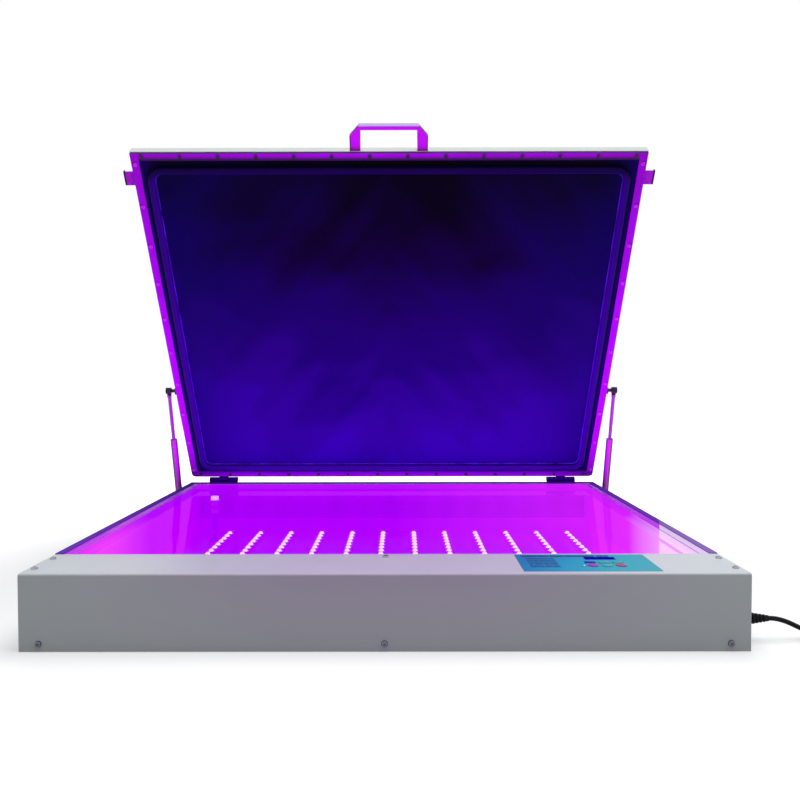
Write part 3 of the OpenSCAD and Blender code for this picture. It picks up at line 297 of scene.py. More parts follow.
class Graph:
    """Adds and wires the nodes of one material or world."""

    def __init__(self, tree: bpy.types.NodeTree) -> None:
        """Starts from an empty tree."""
        self.tree = tree
        tree.nodes.clear()

    def node(
        self, kind: str, inputs: dict[str | int, object] | None = None, **settings: object
    ) -> bpy.types.Node:
        """Adds a node.

        Args:
            kind: The node's type.
            inputs: A value or another node's output for each named input.
            settings: The node's own properties.

        Returns:
            The node.
        """
        made = self.tree.nodes.new(kind)
        for key, value in settings.items():
            setattr(made, key, value)
        for key, value in (inputs or {}).items():
            if isinstance(value, bpy.types.NodeSocket):
                self.tree.links.new(value, made.inputs[key])
            else:
                made.inputs[key].default_value = value
        return made

    def place(self, scale: Point = (1, 1, 1), turn: Point = (0, 0, 0), shift: Point = (0, 0, 0)) -> object:
        """The object's own coordinates, stretched, turned and shifted.

        Args:
            scale: The factor along each axis.
            turn: The turn about each axis in radians.
            shift: The shift in metres.

        Returns:
            The coordinates.
        """
        own = self.node("ShaderNodeTexCoord").outputs["Object"]
        if (scale, turn, shift) == ((1, 1, 1), (0, 0, 0), (0, 0, 0)):
            return own
        inputs = {"Vector": own, "Scale": scale, "Rotation": turn, "Location": shift}
        return self.node("ShaderNodeMapping", inputs).outputs["Vector"]

    def noise(self, where: object, scale: float, detail: float = 3, rough: float = 0.55, bend: float = 0) -> object:
        """A cloudy pattern from 0 to 1 with a number of spots to the metre."""
        inputs = {"Vector": where, "Scale": scale, "Detail": detail, "Roughness": rough, "Distortion": bend}
        return self.node("ShaderNodeTexNoise", inputs).outputs["Fac"]

    def ramp(self, factor: object, stops: Sequence[tuple[float, Sequence[float]]], ease: bool = False) -> object:
        """A colour for each value of a factor, between stops.

        Args:
            factor: The number that picks the colour.
            stops: Each stop's place and colour.
            ease: Whether the colour eases in and out at a stop.

        Returns:
            The colour.
        """
        made = self.node("ShaderNodeValToRGB", {"Fac": factor})
        ramp = made.color_ramp
        ramp.interpolation = "EASE" if ease else "LINEAR"
        while len(ramp.elements) < len(stops):
            ramp.elements.new(1)
        for element, (place, colour) in zip(ramp.elements, stops):
            element.position = place
            element.color = (*colour[:3], 1)
        return made.outputs["Color"]

    def span(self, factor: object, low: float, high: float, start: float = 0, end: float = 1) -> object:
        """A factor from start to end turned into a number from low to high."""
        inputs = {"Value": factor, "From Min": start, "From Max": end, "To Min": low, "To Max": high}
        return self.node("ShaderNodeMapRange", inputs).outputs["Result"]

    def maths(self, how: str, first: object, second: object = 0.0) -> object:
        """The result of a sum on one or two numbers."""
        return self.node("ShaderNodeMath", {0: first, 1: second}, operation=how).outputs["Value"]

    def mixed(self, factor: object, first: object, second: object, how: str = "MIX") -> object:
        """Two colours blended by a factor.

        Args:
            factor: The share of the second colour.
            first: The first colour.
            second: The second colour.
            how: The way they are blended.

        Returns:
            The colour.
        """
        made = self.node("ShaderNodeMix", data_type="RGBA", blend_type=how)
        for name, value in (("Factor_Float", factor), ("A_Color", first), ("B_Color", second)):
            socket = next(i for i in made.inputs if i.identifier == name)
            if isinstance(value, bpy.types.NodeSocket):
                self.tree.links.new(value, socket)
            else:
                socket.default_value = value
        return next(o for o in made.outputs if o.identifier == "Result_Color")

    def bump(self, height: object, strength: float, distance: float, under: object = None) -> object:
        """Relief from a height pattern; distance is in metres.

        Args:
            height: The pattern.
            strength: How much of it is used.
            distance: Its depth in metres.
            under: A relief that lies beneath it.

        Returns:
            The bent normal.
        """
        inputs = {"Height": height, "Strength": strength, "Distance": distance}
        if under is not None:
            inputs["Normal"] = under
        return self.node("ShaderNodeBump", inputs).outputs["Normal"]

    def split(self, where: object) -> bpy.types.bpy_prop_collection:
        """The X, Y and Z of a place, by name."""
        return self.node("ShaderNodeSeparateXYZ", {"Vector": where}).outputs

    def seen(self) -> object:
        """One for what is seen, straight or in a mirror or glass, and nothing for light on the machine.

        Returns:
            The share.
        """
        path = self.node("ShaderNodeLightPath").outputs
        seen = self.maths("ADD", path["Is Camera Ray"], path["Is Glossy Ray"])
        return self.maths("MINIMUM", self.maths("ADD", seen, path["Is Transmission Ray"]), 1.0)

    def principled(self, inputs: dict[str | int, object]) -> object:
        """The general surface shader with its named inputs."""
        return self.node("ShaderNodeBsdfPrincipled", inputs).outputs["BSDF"]

    def finish(self, shader: object) -> None:
        """Sends a shader to the material's output."""
        self.node("ShaderNodeOutputMaterial", {"Surface": shader})


def shade(colour: Colour, factor: float) -> Colour:
    """A colour made lighter or darker by a factor."""
    return tuple(min(1.0, c * factor) for c in colour)


# The values between which a cloudy pattern does nearly all of its changing.
CLOUD = (0.3, 0.7)


@dataclass(frozen=True)
class Finish:
    """A surface with its colour, gloss and fine relief; each kind adds its own layers.

    A part in the lamps' light may have that violet light painted into its colour on the side towards them, and
    its plain colour, away, on its far side: facing holds the slopes along Y and Z and the offset in metres of
    the plane between the two sides, and turn the soft edge there.
    """

    name: str
    colour: Colour
    roughness: float = 0.5
    tone: float = 0.08
    patch: float = 7.0
    gloss: float = 0.3
    away: Colour | None = None
    facing: Point = (0.0, 0.0, 0.0)
    turn: Pair = (-0.0006, 0.0012)

    def material(self) -> bpy.types.Material:
        """The finish as a material, made once.

        Returns:
            The material.
        """
        title = f"{self.name}_finish"
        known = bpy.data.materials.get(title)
        if known:
            return known
        made = bpy.data.materials.new(title)
        made.use_nodes = True
        graph = Graph(made.node_tree)
        graph.finish(self.shader(graph))
        return made

    def tinted(self, graph: Graph, where: object) -> object:
        """The colour, drifting a little from place to place.

        Args:
            graph: The graph to build in.
            where: The place on the surface.

        Returns:
            The colour.
        """
        cloud = graph.noise(where, self.patch, 4)
        dark, light = shade(self.colour, 1 - self.tone), shade(self.colour, 1 + self.tone)
        near = graph.ramp(cloud, [(CLOUD[0], dark), (0.5, self.colour), (CLOUD[1], light)])
        if self.away is None:
            return near
        # Beyond the plane lies the far side, which gets the plain colour away; the near side keeps the painted lamp
        # light.
        split = graph.split(where)
        deep = graph.maths("MULTIPLY", split["Y"], self.facing[0])
        high = graph.maths("MULTIPLY", split["Z"], self.facing[1])
        beyond = graph.maths("SUBTRACT", graph.maths("ADD", deep, high), self.facing[2])
        return graph.mixed(graph.span(beyond, 0.0, 1.0, *self.turn), near, (*self.away, 1))

    def worn(self, graph: Graph, where: object, spots: float, detail: float, less: float, more: float) -> object:
        """The roughness, drifting from spot to spot.

        Args:
            graph: The graph to build in.
            where: The place.
            spots: How many spots there are to the metre.
            detail: How fine they are.
            less: How far it falls below the finish's own roughness.
            more: How far it rises above it.

        Returns:
            The roughness.
        """
        return graph.span(graph.noise(where, spots, detail), self.roughness - less, self.roughness + more, *CLOUD)

    def shader(self, graph: Graph) -> object:
        """Builds the finish's nodes and returns the shader."""
        raise NotImplementedError


@dataclass(frozen=True)
class Paint(Finish):
    """Sprayed paint on sheet metal, with the faint dimples of a sprayed coat."""

    grain: float = 1400.0
    dimple: float = 0.12
    dimple_depth: float = 0.0004
    wave: float = 0.03
    wave_depth: float = 0.004
    coat: float = 0.0
    coat_roughness: float = 0.12
    metallic: float = 0.0

    def shader(self, graph: Graph) -> object:
        """Builds the finish's nodes and returns the shader.

        Args:
            graph: The graph to build in.

        Returns:
            The shader.
        """
        where = graph.place()
        dimples = graph.noise(where, self.grain, 2, 0.4)
        waves = graph.noise(where, 6, 2)
        normal = graph.bump(dimples, self.dimple, self.dimple_depth, graph.bump(waves, self.wave, self.wave_depth))
        inputs = {
            "Base Color": self.tinted(graph, where),
            "Roughness": self.worn(graph, where, 23, 3, 0.05, 0.07),
            "Metallic": self.metallic,
            "Specular IOR Level": self.gloss,
            "Coat Weight": self.coat,
            "Coat Roughness": self.coat_roughness,
            "Normal": normal,
        }
        return graph.principled(inputs)


@dataclass(frozen=True)
class PaintedCornerReflection:
    """The painted reflection of the bright surroundings at the front right of the glass: a pale corner beyond a
    slanted upright plane.
    """

    slope: float = 0.3
    edge: Pair = (0.5185, 0.5205)
    tray_side: float = 0.464

    def share(self, graph: Graph, split: object) -> object:
        """One on the wall, ledge and rim at that corner, and nothing elsewhere.

        Args:
            graph: The graph to build in.
            split: The separated object coordinates.

        Returns:
            The share.
        """
        slant = graph.maths("SUBTRACT", split["X"], graph.maths("MULTIPLY", split["Y"], self.slope))
        outside = graph.maths("GREATER_THAN", split["X"], self.tray_side)
        return graph.maths("MULTIPLY", graph.span(slant, 0.0, 1.0, *self.edge), outside)


PAINTED_CORNER_REFLECTION = PaintedCornerReflection()


@dataclass(frozen=True)
class CabinetPaint(Paint):
    """The cabinet's grey paint with the violet light from the glass painted in: a violet cast in the middle of the
    front, violet rims by the glass and a painted pale reflection at the near right corner.
    """

    # Painted light: glow is the violet cast on the front's middle, rim the violet light on the rims, pale the painted
    # reflection at the near right corner.
    glow: Colour = (0.62, 0.53, 0.71)
    rim: Colour = (0.62, 0.0, 0.98)
    pale: Colour = (0.86, 0.66, 0.98)
    rim_height: float = 0.1062
    rim_edge: float = 0.0004
    middle: Pair = (0.12, 0.46)
    rise: Pair = (0.01, 0.095)
    foot_share: float = 0.35
    front_part: float = -0.35
    glass_start: Pair = (-0.357, -0.355)

    def tinted(self, graph: Graph, where: object) -> object:
        """The paint's colour with the light that spills from the glass painted in.

        Args:
            graph: The graph to build in.
            where: The place on the surface.

        Returns:
            The colour.
        """
        split = graph.split(where)
        side = graph.maths("ABSOLUTE", split["X"])
        middle = graph.span(side, 1.0, 0.0, *self.middle)
        height = graph.span(split["Z"], self.foot_share, 1.0, *self.rise)
        plain = super().tinted(graph, where)
        before = graph.maths("LESS_THAN", split["Y"], self.front_part)
        share = graph.maths("MULTIPLY", graph.maths("MULTIPLY", middle, height), before)
        # Painted violet light on the middle of the front, growing with height.
        front = graph.mixed(share, plain, (*self.glow, 1))
        rim = graph.span(split["Z"], 0.0, 1.0, self.rim_height, self.rim_height + self.rim_edge)
        behind = graph.span(split["Y"], 0.0, 1.0, *self.glass_start)
        # Painted violet light on the rims, with the painted pale reflection at the near right corner.
        lit = graph.mixed(PAINTED_CORNER_REFLECTION.share(graph, split), (*self.rim, 1), (*self.pale, 1))
        return graph.mixed(graph.maths("MULTIPLY", rim, behind), front, lit)


@dataclass(frozen=True)
class ClampPaint(Paint):
    """The clamp bars' paint with the lamps' violet light painted in, a dark grey painted shadow under the handle and
    painted shade by the hinges' bead.
    """

    # shadow is the painted shadow at the handle end; low_light is the painted shade by the hinges.
    shadow: Colour = (0.05, 0.03, 0.07)
    low_light: Colour = (0.10, 0.0, 0.42)
    under_handle: Pair = (0.7915, 0.7975)
    handle_end: float = 0.78
    by_hinges: Pair = (0.1265, 0.1335)
    hinge_end: float = 0.1347
    hinge_share: float = 0.85
    corner: float = 0.4832
    front_edge: float = 0.8013

    def tinted(self, graph: Graph, where: object) -> object:
        """The bars' colour, with painted shade where the bead keeps the light off.

        Args:
            graph: The graph to build in.
            where: The place on the surface.

        Returns:
            The colour.
        """
        split = graph.split(where)
        height = split["Z"]
        by_bead = graph.span(height, 1.0, 0.0, *self.under_handle)
        between = graph.maths("LESS_THAN", graph.maths("ABSOLUTE", split["X"]), self.corner)
        end_bar = graph.maths("MULTIPLY", between, graph.maths("GREATER_THAN", height, self.handle_end))
        top = graph.maths("MULTIPLY", by_bead, end_bar)
        top = graph.maths("MAXIMUM", top, graph.maths("GREATER_THAN", height, self.front_edge))
        rising = graph.span(height, 0.0, self.hinge_share, *self.by_hinges)
        low = graph.maths("MULTIPLY", rising, graph.maths("LESS_THAN", height, self.hinge_end))
        # Painted shadow at the handle end, then painted shade by the hinges.
        shaded = graph.mixed(top, super().tinted(graph, where), (*self.shadow, 1))
        return graph.mixed(low, shaded, (*self.low_light, 1))


@dataclass(frozen=True)
class Metal(Finish):
    """Bare metal, brushed or drawn along one direction, with faint handling marks."""

    along: Point = (4, 400, 400)
    scratch: float = 0.18
    scratch_depth: float = 0.0002
    metallic: float = 0.92

    def shader(self, graph: Graph) -> object:
        """Builds the finish's nodes and returns the shader.

        Args:
            graph: The graph to build in.

        Returns:
            The shader.
        """
        where = graph.place()
        lines = graph.noise(graph.place(self.along), 1, 4, 0.7)
        marks = graph.noise(where, 60, 5, 0.7)
        inputs = {
            "Base Color": self.tinted(graph, where),
            "Metallic": self.metallic,
            "Specular IOR Level": self.gloss,
            "Roughness": graph.span(
                graph.maths("ADD", lines, marks), self.roughness - 0.08, self.roughness + 0.12, 0.7, 1.3
            ),
            "Normal": graph.bump(lines, self.scratch, self.scratch_depth),
        }
        return graph.principled(inputs)


@dataclass(frozen=True)
class HandleMetal(Metal):
    """The lid handle with the lamps' violet light painted on: a painted highlight on the face that points away from
    the hinges, and painted shade on its outer corners.

    Its places are measured along the open lid and through it; tilt is the cosine and sine of the lid's angle.
    """

    tilt: Pair = (0.5693, 0.8221)
    outward: float = 0.6983
    far_edge: float = 0.4906
    near_half: float = 0.4845
    near_edge: float = 0.4795
    bend: Pair = (0.0585, 0.7206)
    bend_slope: float = 0.95
    flank: float = 0.0728
    soft: float = 0.0008
    crisp: float = 0.0006
    # pale is the painted highlight, dark the painted shade.
    pale: Colour = (0.44, 0.34, 0.66)
    dark: Colour = (0.05, 0.015, 0.10)

    def tinted(self, graph: Graph, where: object) -> object:
        """The handle's colour with its painted highlight and the painted shade on its corners.

        Args:
            graph: The graph to build in.
            where: The place on the surface.

        Returns:
            The colour.
        """
        split = graph.split(where)
        across, deep, high = (split[name] for name in "XYZ")
        low, steep = self.tilt
        along = graph.maths("SUBTRACT", graph.maths("MULTIPLY", high, steep), graph.maths("MULTIPLY", deep, low))
        through = graph.maths("ADD", graph.maths("MULTIPLY", deep, steep), graph.maths("MULTIPLY", high, low))
        side = graph.maths("ABSOLUTE", across)
        top = graph.span(along, 0.0, 1.0, self.outward, self.outward + self.soft)
        # Painted highlight on the face that points away from the hinges.
        body = graph.mixed(top, super().tinted(graph, where), (*self.pale, 1))
        rim = graph.maths("MULTIPLY", top, graph.span(through, 0.0, 1.0, self.far_edge, self.far_edge + self.soft))
        slope = graph.maths("ADD", side, graph.maths("MULTIPLY", along, self.bend_slope))
        bent = graph.span(slope, 0.0, 1.0, self.bend[1], self.bend[1] + self.crisp)
        for limit, test, value in ((self.bend[0], "GREATER_THAN", side), (self.near_half, "LESS_THAN", through)):
            bent = graph.maths("MULTIPLY", bent, graph.maths(test, value, limit))
        flank = graph.span(side, 0.0, 1.0, self.flank, self.flank + self.crisp)
        flank = graph.maths("MULTIPLY", flank, graph.maths("LESS_THAN", through, self.near_edge))
        # Painted shade on the rim, the bend and the flanks.
        shade_share = graph.maths("MAXIMUM", rim, graph.maths("MAXIMUM", bent, flank))
        return graph.mixed(shade_share, body, (*self.dark, 1))


@dataclass(frozen=True)
class KeeperPlate(Metal):
    """The keepers' steel with the lamps' violet light painted on where they reach it, darker streaks, and painted
    shade on its lip.
    """

    lip: Pair = (0.5155, 0.5175)
    # dark is the painted shade on the lip; the next colour is that of the darker streaks.
    dark: Colour = (0.02, 0.012, 0.03)
    streak_colour: Colour = (0.10, 0.01, 0.22)
    streak_spots: float = 420.0
    streak_share: float = 0.55
    streak_edge: Pair = (0.45, 0.62)

    def tinted(self, graph: Graph, where: object) -> object:
        """The plate's colour, with darker streaks and painted shade beyond the bend.

        Args:
            graph: The graph to build in.
            where: The place on the surface.

        Returns:
            The colour.
        """
        side = graph.maths("ABSOLUTE", graph.split(where)["X"])
        streaked = graph.span(graph.noise(where, self.streak_spots, 2), 0.0, self.streak_share, *self.streak_edge)
        plate = graph.mixed(streaked, super().tinted(graph, where), (*self.streak_colour, 1))
        return graph.mixed(graph.span(side, 0.0, 1.0, *self.lip), plate, (*self.dark, 1))


@dataclass(frozen=True)
class Spangle(Finish):
    """Galvanised sheet with its crystal pattern."""

    crystals: float = 90.0
    tones: Pair = (0.8, 1.08)
    metallic: float = 0.85

    def shader(self, graph: Graph) -> object:
        """Builds the finish's nodes and returns the shader.

        Args:
            graph: The graph to build in.

        Returns:
            The shader.
        """
        where = graph.place()
        cells = graph.node("ShaderNodeTexVoronoi", {"Vector": where, "Scale": self.crystals}, feature="F1")
        tones = graph.span(cells.outputs["Color"], *self.tones)
        colour = graph.mixed(1.0, self.tinted(graph, where), tones, "MULTIPLY")
        inputs = {
            "Base Color": colour,
            "Metallic": self.metallic,
            "Roughness": graph.span(cells.outputs["Color"], self.roughness - 0.1, self.roughness + 0.15),
            "Normal": graph.bump(graph.noise(where, 500, 3), 0.1, 0.0003),
        }
        return graph.principled(inputs)


@dataclass(frozen=True)
class Rubber(Finish):
    """Rubber with a fine skin and a soft bloom."""

    grain: float = 2200.0
    skin: float = 0.15
    skin_depth: float = 0.0003
    bloom: float = 0.2
    bloom_roughness: float = 0.5

    def shader(self, graph: Graph) -> object:
        """Builds the finish's nodes and returns the shader.

        Args:
            graph: The graph to build in.

        Returns:
            The shader.
        """
        where = graph.place()
        skin = graph.noise(where, self.grain, 3, 0.6)
        inputs = {
            "Base Color": self.tinted(graph, where),
            "Roughness": self.worn(graph, where, 40, 4, 0.06, 0.08),
            "Specular IOR Level": self.gloss,
            "Sheen Weight": self.bloom,
            "Sheen Roughness": self.bloom_roughness,
            "Normal": graph.bump(skin, self.skin, self.skin_depth),
        }
        return graph.principled(inputs)


@dataclass(frozen=True)
class BeadRubber(Rubber):
    """The blanket's bead, with painted shadow along the handle end."""

    shadow: Colour = (0.006, 0.0, 0.05)
    shaded: Pair = (0.748, 0.766)

    def tinted(self, graph: Graph, where: object) -> object:
        """The bead's colour, with painted shadow at the handle end.

        Args:
            graph: The graph to build in.
            where: The place on the surface.

        Returns:
            The colour.
        """
        height = graph.split(where)["Z"]
        dark = graph.span(height, 0.0, 1.0, *self.shaded)
        return graph.mixed(dark, super().tinted(graph, where), (*self.shadow, 1))


@dataclass(frozen=True)
class StripRubber(Rubber):
    """The rubber strips on the rims, with the painted pale reflection at the near right corner."""

    # The painted reflection's colour.
    pale: Colour = (0.30, 0.17, 0.54)

    def tinted(self, graph: Graph, where: object) -> object:
        """The strip's colour, with the painted reflection at the corner."""
        split = graph.split(where)
        return graph.mixed(PAINTED_CORNER_REFLECTION.share(graph, split), super().tinted(graph, where), (*self.pale, 1))


@dataclass(frozen=True)
class SideLit(Finish):
    """An upright tube or rod with painted light from the machine's middle: painted shade at its edges, and dark at its
    top eye.
    """

    inner: Pair = (0.5112, 0.5135)
    outer: Pair = (0.5185, 0.5220)
    eye: Pair = (0.3265, 0.3285)
    # shadow is the painted shade at the edges; dark is the eye's colour.
    shadow: Colour = (0.26, 0.16, 0.42)
    dark: Colour = (0.035, 0.014, 0.05)

    def tinted(self, graph: Graph, where: object) -> object:
        """The colour with painted shade at its edges and its dark eye.

        Args:
            graph: The graph to build in.
            where: The place on the surface.

        Returns:
            The colour.
        """
        split = graph.split(where)
        side = graph.maths("ABSOLUTE", split["X"])
        inner, outer = graph.span(side, 1.0, 0.0, *self.inner), graph.span(side, 0.0, 1.0, *self.outer)
        edges = graph.maths("MAXIMUM", inner, outer)
        body = graph.mixed(edges, super().tinted(graph, where), (*self.shadow, 1), "MULTIPLY")
        return graph.mixed(graph.span(split["Z"], 0.0, 1.0, *self.eye), body, (*self.dark, 1))


@dataclass(frozen=True)
class SpringTube(SideLit, Paint):
    """A gas spring's lacquered tube."""


@dataclass(frozen=True)
class SpringRod(SideLit, Metal):
    """A gas spring's chromed rod."""


@dataclass(frozen=True)
class Moulded(Finish):
    """Moulded plastic with a spark-eroded grain or a polished skin."""

    grain: float = 1800.0
    relief: float = 0.12
    relief_depth: float = 0.0002
    glow: float = 0.0

    def shader(self, graph: Graph) -> object:
        """Builds the finish's nodes and returns the shader.

        Args:
            graph: The graph to build in.

        Returns:
            The shader.
        """
        where = graph.place()
        inputs = {
            "Base Color": self.tinted(graph, where),
            "Roughness": self.worn(graph, where, 80, 3, 0.04, 0.08),
            "Specular IOR Level": self.gloss,
            "Emission Color": (*self.colour, 1),
            "Emission Strength": self.glow,
            "Normal": graph.bump(graph.noise(where, self.grain, 2, 0.5), self.relief, self.relief_depth),
        }
        return graph.principled(inputs)


@dataclass(frozen=True)
class BlanketSkin(Finish):
    """The blanket's smooth rubber with the lamps' violet light painted in: near black at the handle end, violet blue
    towards the hinges and the sides, with painted patches of light and shade.
    """

    # deep, middle and bright are painted levels of the violet light; side_light and margin paint more light towards
    # the sides, blot and the streaks soft patches of light and shade.
    deep: Colour = (0.0005, 0.0, 0.004)
    middle: Colour = (0.0035, 0.0, 0.064)
    bright: Colour = (0.012, 0.0, 0.12)
    dimmer: float = 0.8
    side_light: float = 1.4
    span_up: Pair = (0.14, 0.80)
    blot: float = 0.12
    streak_scale: Point = (7.0, 1.2, 1.0)
    cloud_stretch: Point = (1.0, 1.6, 1.6)
    margin: Pair = (0.445, 0.475)

    def shader(self, graph: Graph) -> object:
        """Builds the finish's nodes and returns the shader.

        Args:
            graph: The graph to build in.

        Returns:
            The shader.
        """
        where = graph.place()
        split = graph.split(where)
        side = graph.maths("ABSOLUTE", split["X"])
        slant = graph.maths("ADD", side, split["Z"])
        run = graph.node("ShaderNodeCombineXYZ", {"X": slant, "Y": split["X"], "Z": 0.0}).outputs["Vector"]
        drawn = graph.node("ShaderNodeMapping", {"Vector": run, "Scale": self.streak_scale})
        streak = graph.noise(drawn.outputs[0], 1, 2)
        cloud = graph.noise(graph.place(self.cloud_stretch), 3.2, 3, 0.5, 0.6)
        height = graph.span(split["Z"], 0, 1, *self.span_up)
        blots = graph.maths("ADD", *(graph.span(tone, -self.blot, self.blot, *CLOUD) for tone in (cloud, streak)))
        spread = graph.maths("MULTIPLY", graph.maths("MULTIPLY", side, side), self.side_light)
        drift = graph.maths("SUBTRACT", graph.maths("ADD", height, blots), spread)
        dimmed = shade(self.bright, self.dimmer)
        # Painted light: lighter towards the hinges and the sides.
        stops = [(0.0, self.bright), (0.16, dimmed), (0.42, self.middle), (0.97, self.deep)]
        colour = graph.ramp(drift, stops, ease=True)
        colour = graph.mixed(graph.span(side, 0.0, 0.8, *self.margin), colour, (*dimmed, 1))
        inputs = {
            "Base Color": colour,
            "Roughness": self.worn(graph, where, 30, 4, 0.05, 0.08),
            "Specular IOR Level": self.gloss,
            "Normal": graph.bump(
                graph.noise(where, 1800, 2), 0.08, 0.0003, graph.bump(graph.noise(where, 9, 3), 0.12, 0.01)
            ),
        }
        return graph.principled(inputs)


@dataclass(frozen=True)
class ClearGlass(Finish):
    """Float glass over the lamps: clear, with a mirror gloss that grows at a low angle."""

    bend: float = 1.2
    shine: float = 0.16
    polish: Pair = (0.02, 0.06)
    sheen: Colour = (0.9, 0.08, 1.0)

    def shader(self, graph: Graph) -> object:
        """Builds the finish's nodes and returns the shader.

        Args:
            graph: The graph to build in.

        Returns:
            The shader.
        """
        where = graph.place()
        clear = graph.node("ShaderNodeBsdfTransparent", {"Color": (*self.colour, 1)})
        gloss = graph.node(
            "ShaderNodeBsdfGlossy",
            {"Color": (*self.sheen, 1), "Roughness": graph.span(graph.noise(where, 12, 3), *self.polish)},
        )
        edge = graph.node("ShaderNodeFresnel", {"IOR": self.bend})
        share = graph.maths("MULTIPLY", edge.outputs["Fac"], self.shine)
        mix = graph.node("ShaderNodeMixShader", {0: share, 1: clear.outputs["BSDF"], 2: gloss.outputs["BSDF"]})
        return mix.outputs["Shader"]


@dataclass(frozen=True)
class LitTray(Finish):
    """The reflector under the lamps, with their violet light painted on as a glow that turns pink towards its near
    corners, painted pools of light and the painted pale reflection at the near right corner.
    """

    power: float = 1.0
    pitch: float = 0.0677
    # Painted light: pink, warm and hot are painted pools of light, pale the painted reflection at the near right
    # corner.
    pink: Colour = (0.86, 0.03, 1.0)
    warm: Colour = (0.97, 0.07, 1.0)
    hot: Colour = (1.0, 0.72, 1.0)
    pale: Colour = (1.0, 0.80, 1.0)
    left_spot: Point = (-0.44, -0.26, 0.15)
    right_spot: Point = (0.52, -0.28, 0.17)
    spot_stretch: float = 0.5
    band: float = 0.02
    drift: Pair = (0.95, 1.05)
    pink_share: float = 0.5
    pink_reach: float = 0.42
    unlit: tuple[Colour, Colour] = ((0.05, 0.0, 0.08), (0.07, 0.0, 0.1))

    def marked(self, graph: Graph, split: object, base: object) -> object:
        """The light's colour with the marks of one kind of surface; a plain surface has none."""
        return base

    def spot(self, graph: Graph, split: object, place: Point) -> object:
        """A soft patch, longer to the back than it is wide.

        Args:
            graph: The graph to build in.
            split: The separated object coordinates.
            place: The X and Y of its middle, and its radius.

        Returns:
            One in its middle, falling to nothing at its radius.
        """
        across = graph.maths("SUBTRACT", split["X"], place[0])
        deep = graph.maths("MULTIPLY", graph.maths("SUBTRACT", split["Y"], place[1]), self.spot_stretch)
        square = graph.maths("ADD", graph.maths("MULTIPLY", across, across), graph.maths("MULTIPLY", deep, deep))
        return graph.span(graph.maths("SQRT", square), 1.0, 0.0, 0.0, place[2])

    def shader(self, graph: Graph) -> object:
        """Builds the finish's nodes and returns the shader.

        Args:
            graph: The graph to build in.

        Returns:
            The shader.
        """
        where = graph.place()
        bands = graph.node(
            "ShaderNodeTexWave", {"Vector": where, "Scale": math.tau / self.pitch / 20, "Distortion": 0.0},
            wave_type="BANDS", bands_direction="X", wave_profile="SIN",
        )
        cloud = graph.noise(where, 4, 3)
        banded = graph.span(bands.outputs["Fac"], -self.band, self.band)
        level = graph.maths("ADD", banded, graph.span(cloud, *self.drift, *CLOUD))
        split = graph.split(where)
        pinker = graph.span(split["X"], 0.0, self.pink_share, 0.0, self.pink_reach)
        base = graph.mixed(pinker, (*self.colour, 1), (*self.pink, 1))
        # Painted pools of light, then the painted reflection at the near right corner.
        base = graph.mixed(self.spot(graph, split, self.left_spot), base, (*self.warm, 1))
        base = graph.mixed(self.spot(graph, split, self.right_spot), base, (*self.hot, 1))
        base = graph.mixed(PAINTED_CORNER_REFLECTION.share(graph, split), base, (*self.pale, 1))
        light = graph.mixed(1.0, self.marked(graph, split, base), level, "MULTIPLY")
        # The reflector glows with the painted lamp light.
        inputs = {
            "Base Color": graph.ramp(cloud, list(zip(CLOUD, self.unlit))),
            "Roughness": self.roughness,
            "Specular IOR Level": self.gloss,
            "Emission Color": light,
            "Emission Strength": self.power,
        }
        return graph.principled(inputs)


@dataclass(frozen=True)
class LitBoard(LitTray):
    """A lamp board with the lamps' violet light painted on as a glow, and a painted pink halo round each lamp."""

    halo: Colour = (1.0, 0.30, 1.0)
    first: Pair = (-0.35585, -0.2565)
    step: float = 0.031
    radius: float = 0.009
    core: float = 0.45

    def marked(self, graph: Graph, split: object, base: object) -> object:
        """The painted light's colour with the lamps' painted halos.

        Args:
            graph: The graph to build in.
            split: The X, Y and Z of that place.
            base: The light's plain colour.

        Returns:
            The marked colour.
        """
        square = 0.0
        for name, first, step in (("X", self.first[0], self.pitch), ("Y", self.first[1], self.step)):
            turns = graph.maths("DIVIDE", graph.maths("SUBTRACT", split[name], first - step / 2), step)
            off = graph.maths("MULTIPLY", graph.maths("SUBTRACT", graph.maths("FRACT", turns), 0.5), step)
            square = graph.maths("ADD", square, graph.maths("MULTIPLY", off, off))
        near = graph.span(graph.maths("SQRT", square), 1.0, 0.0, self.radius * self.core, self.radius)
        return graph.mixed(near, base, (*self.halo, 1))


@dataclass(frozen=True)
class LitHose(LitTray):
    """The vacuum hose, with the violet light under the glass painted on as a glow, and dark where it runs in the
    electrics bay.
    """

    wall: float = -0.354
    fade: float = 0.004
    bay: Colour = (0.03, 0.026, 0.034)

    def marked(self, graph: Graph, split: object, base: object) -> object:
        """The hose's painted light, which ends at the compartment wall."""
        behind = graph.span(split["Y"], 0.0, 1.0, self.wall - self.fade, self.wall + self.fade)
        return graph.mixed(behind, (*self.bay, 1), base)


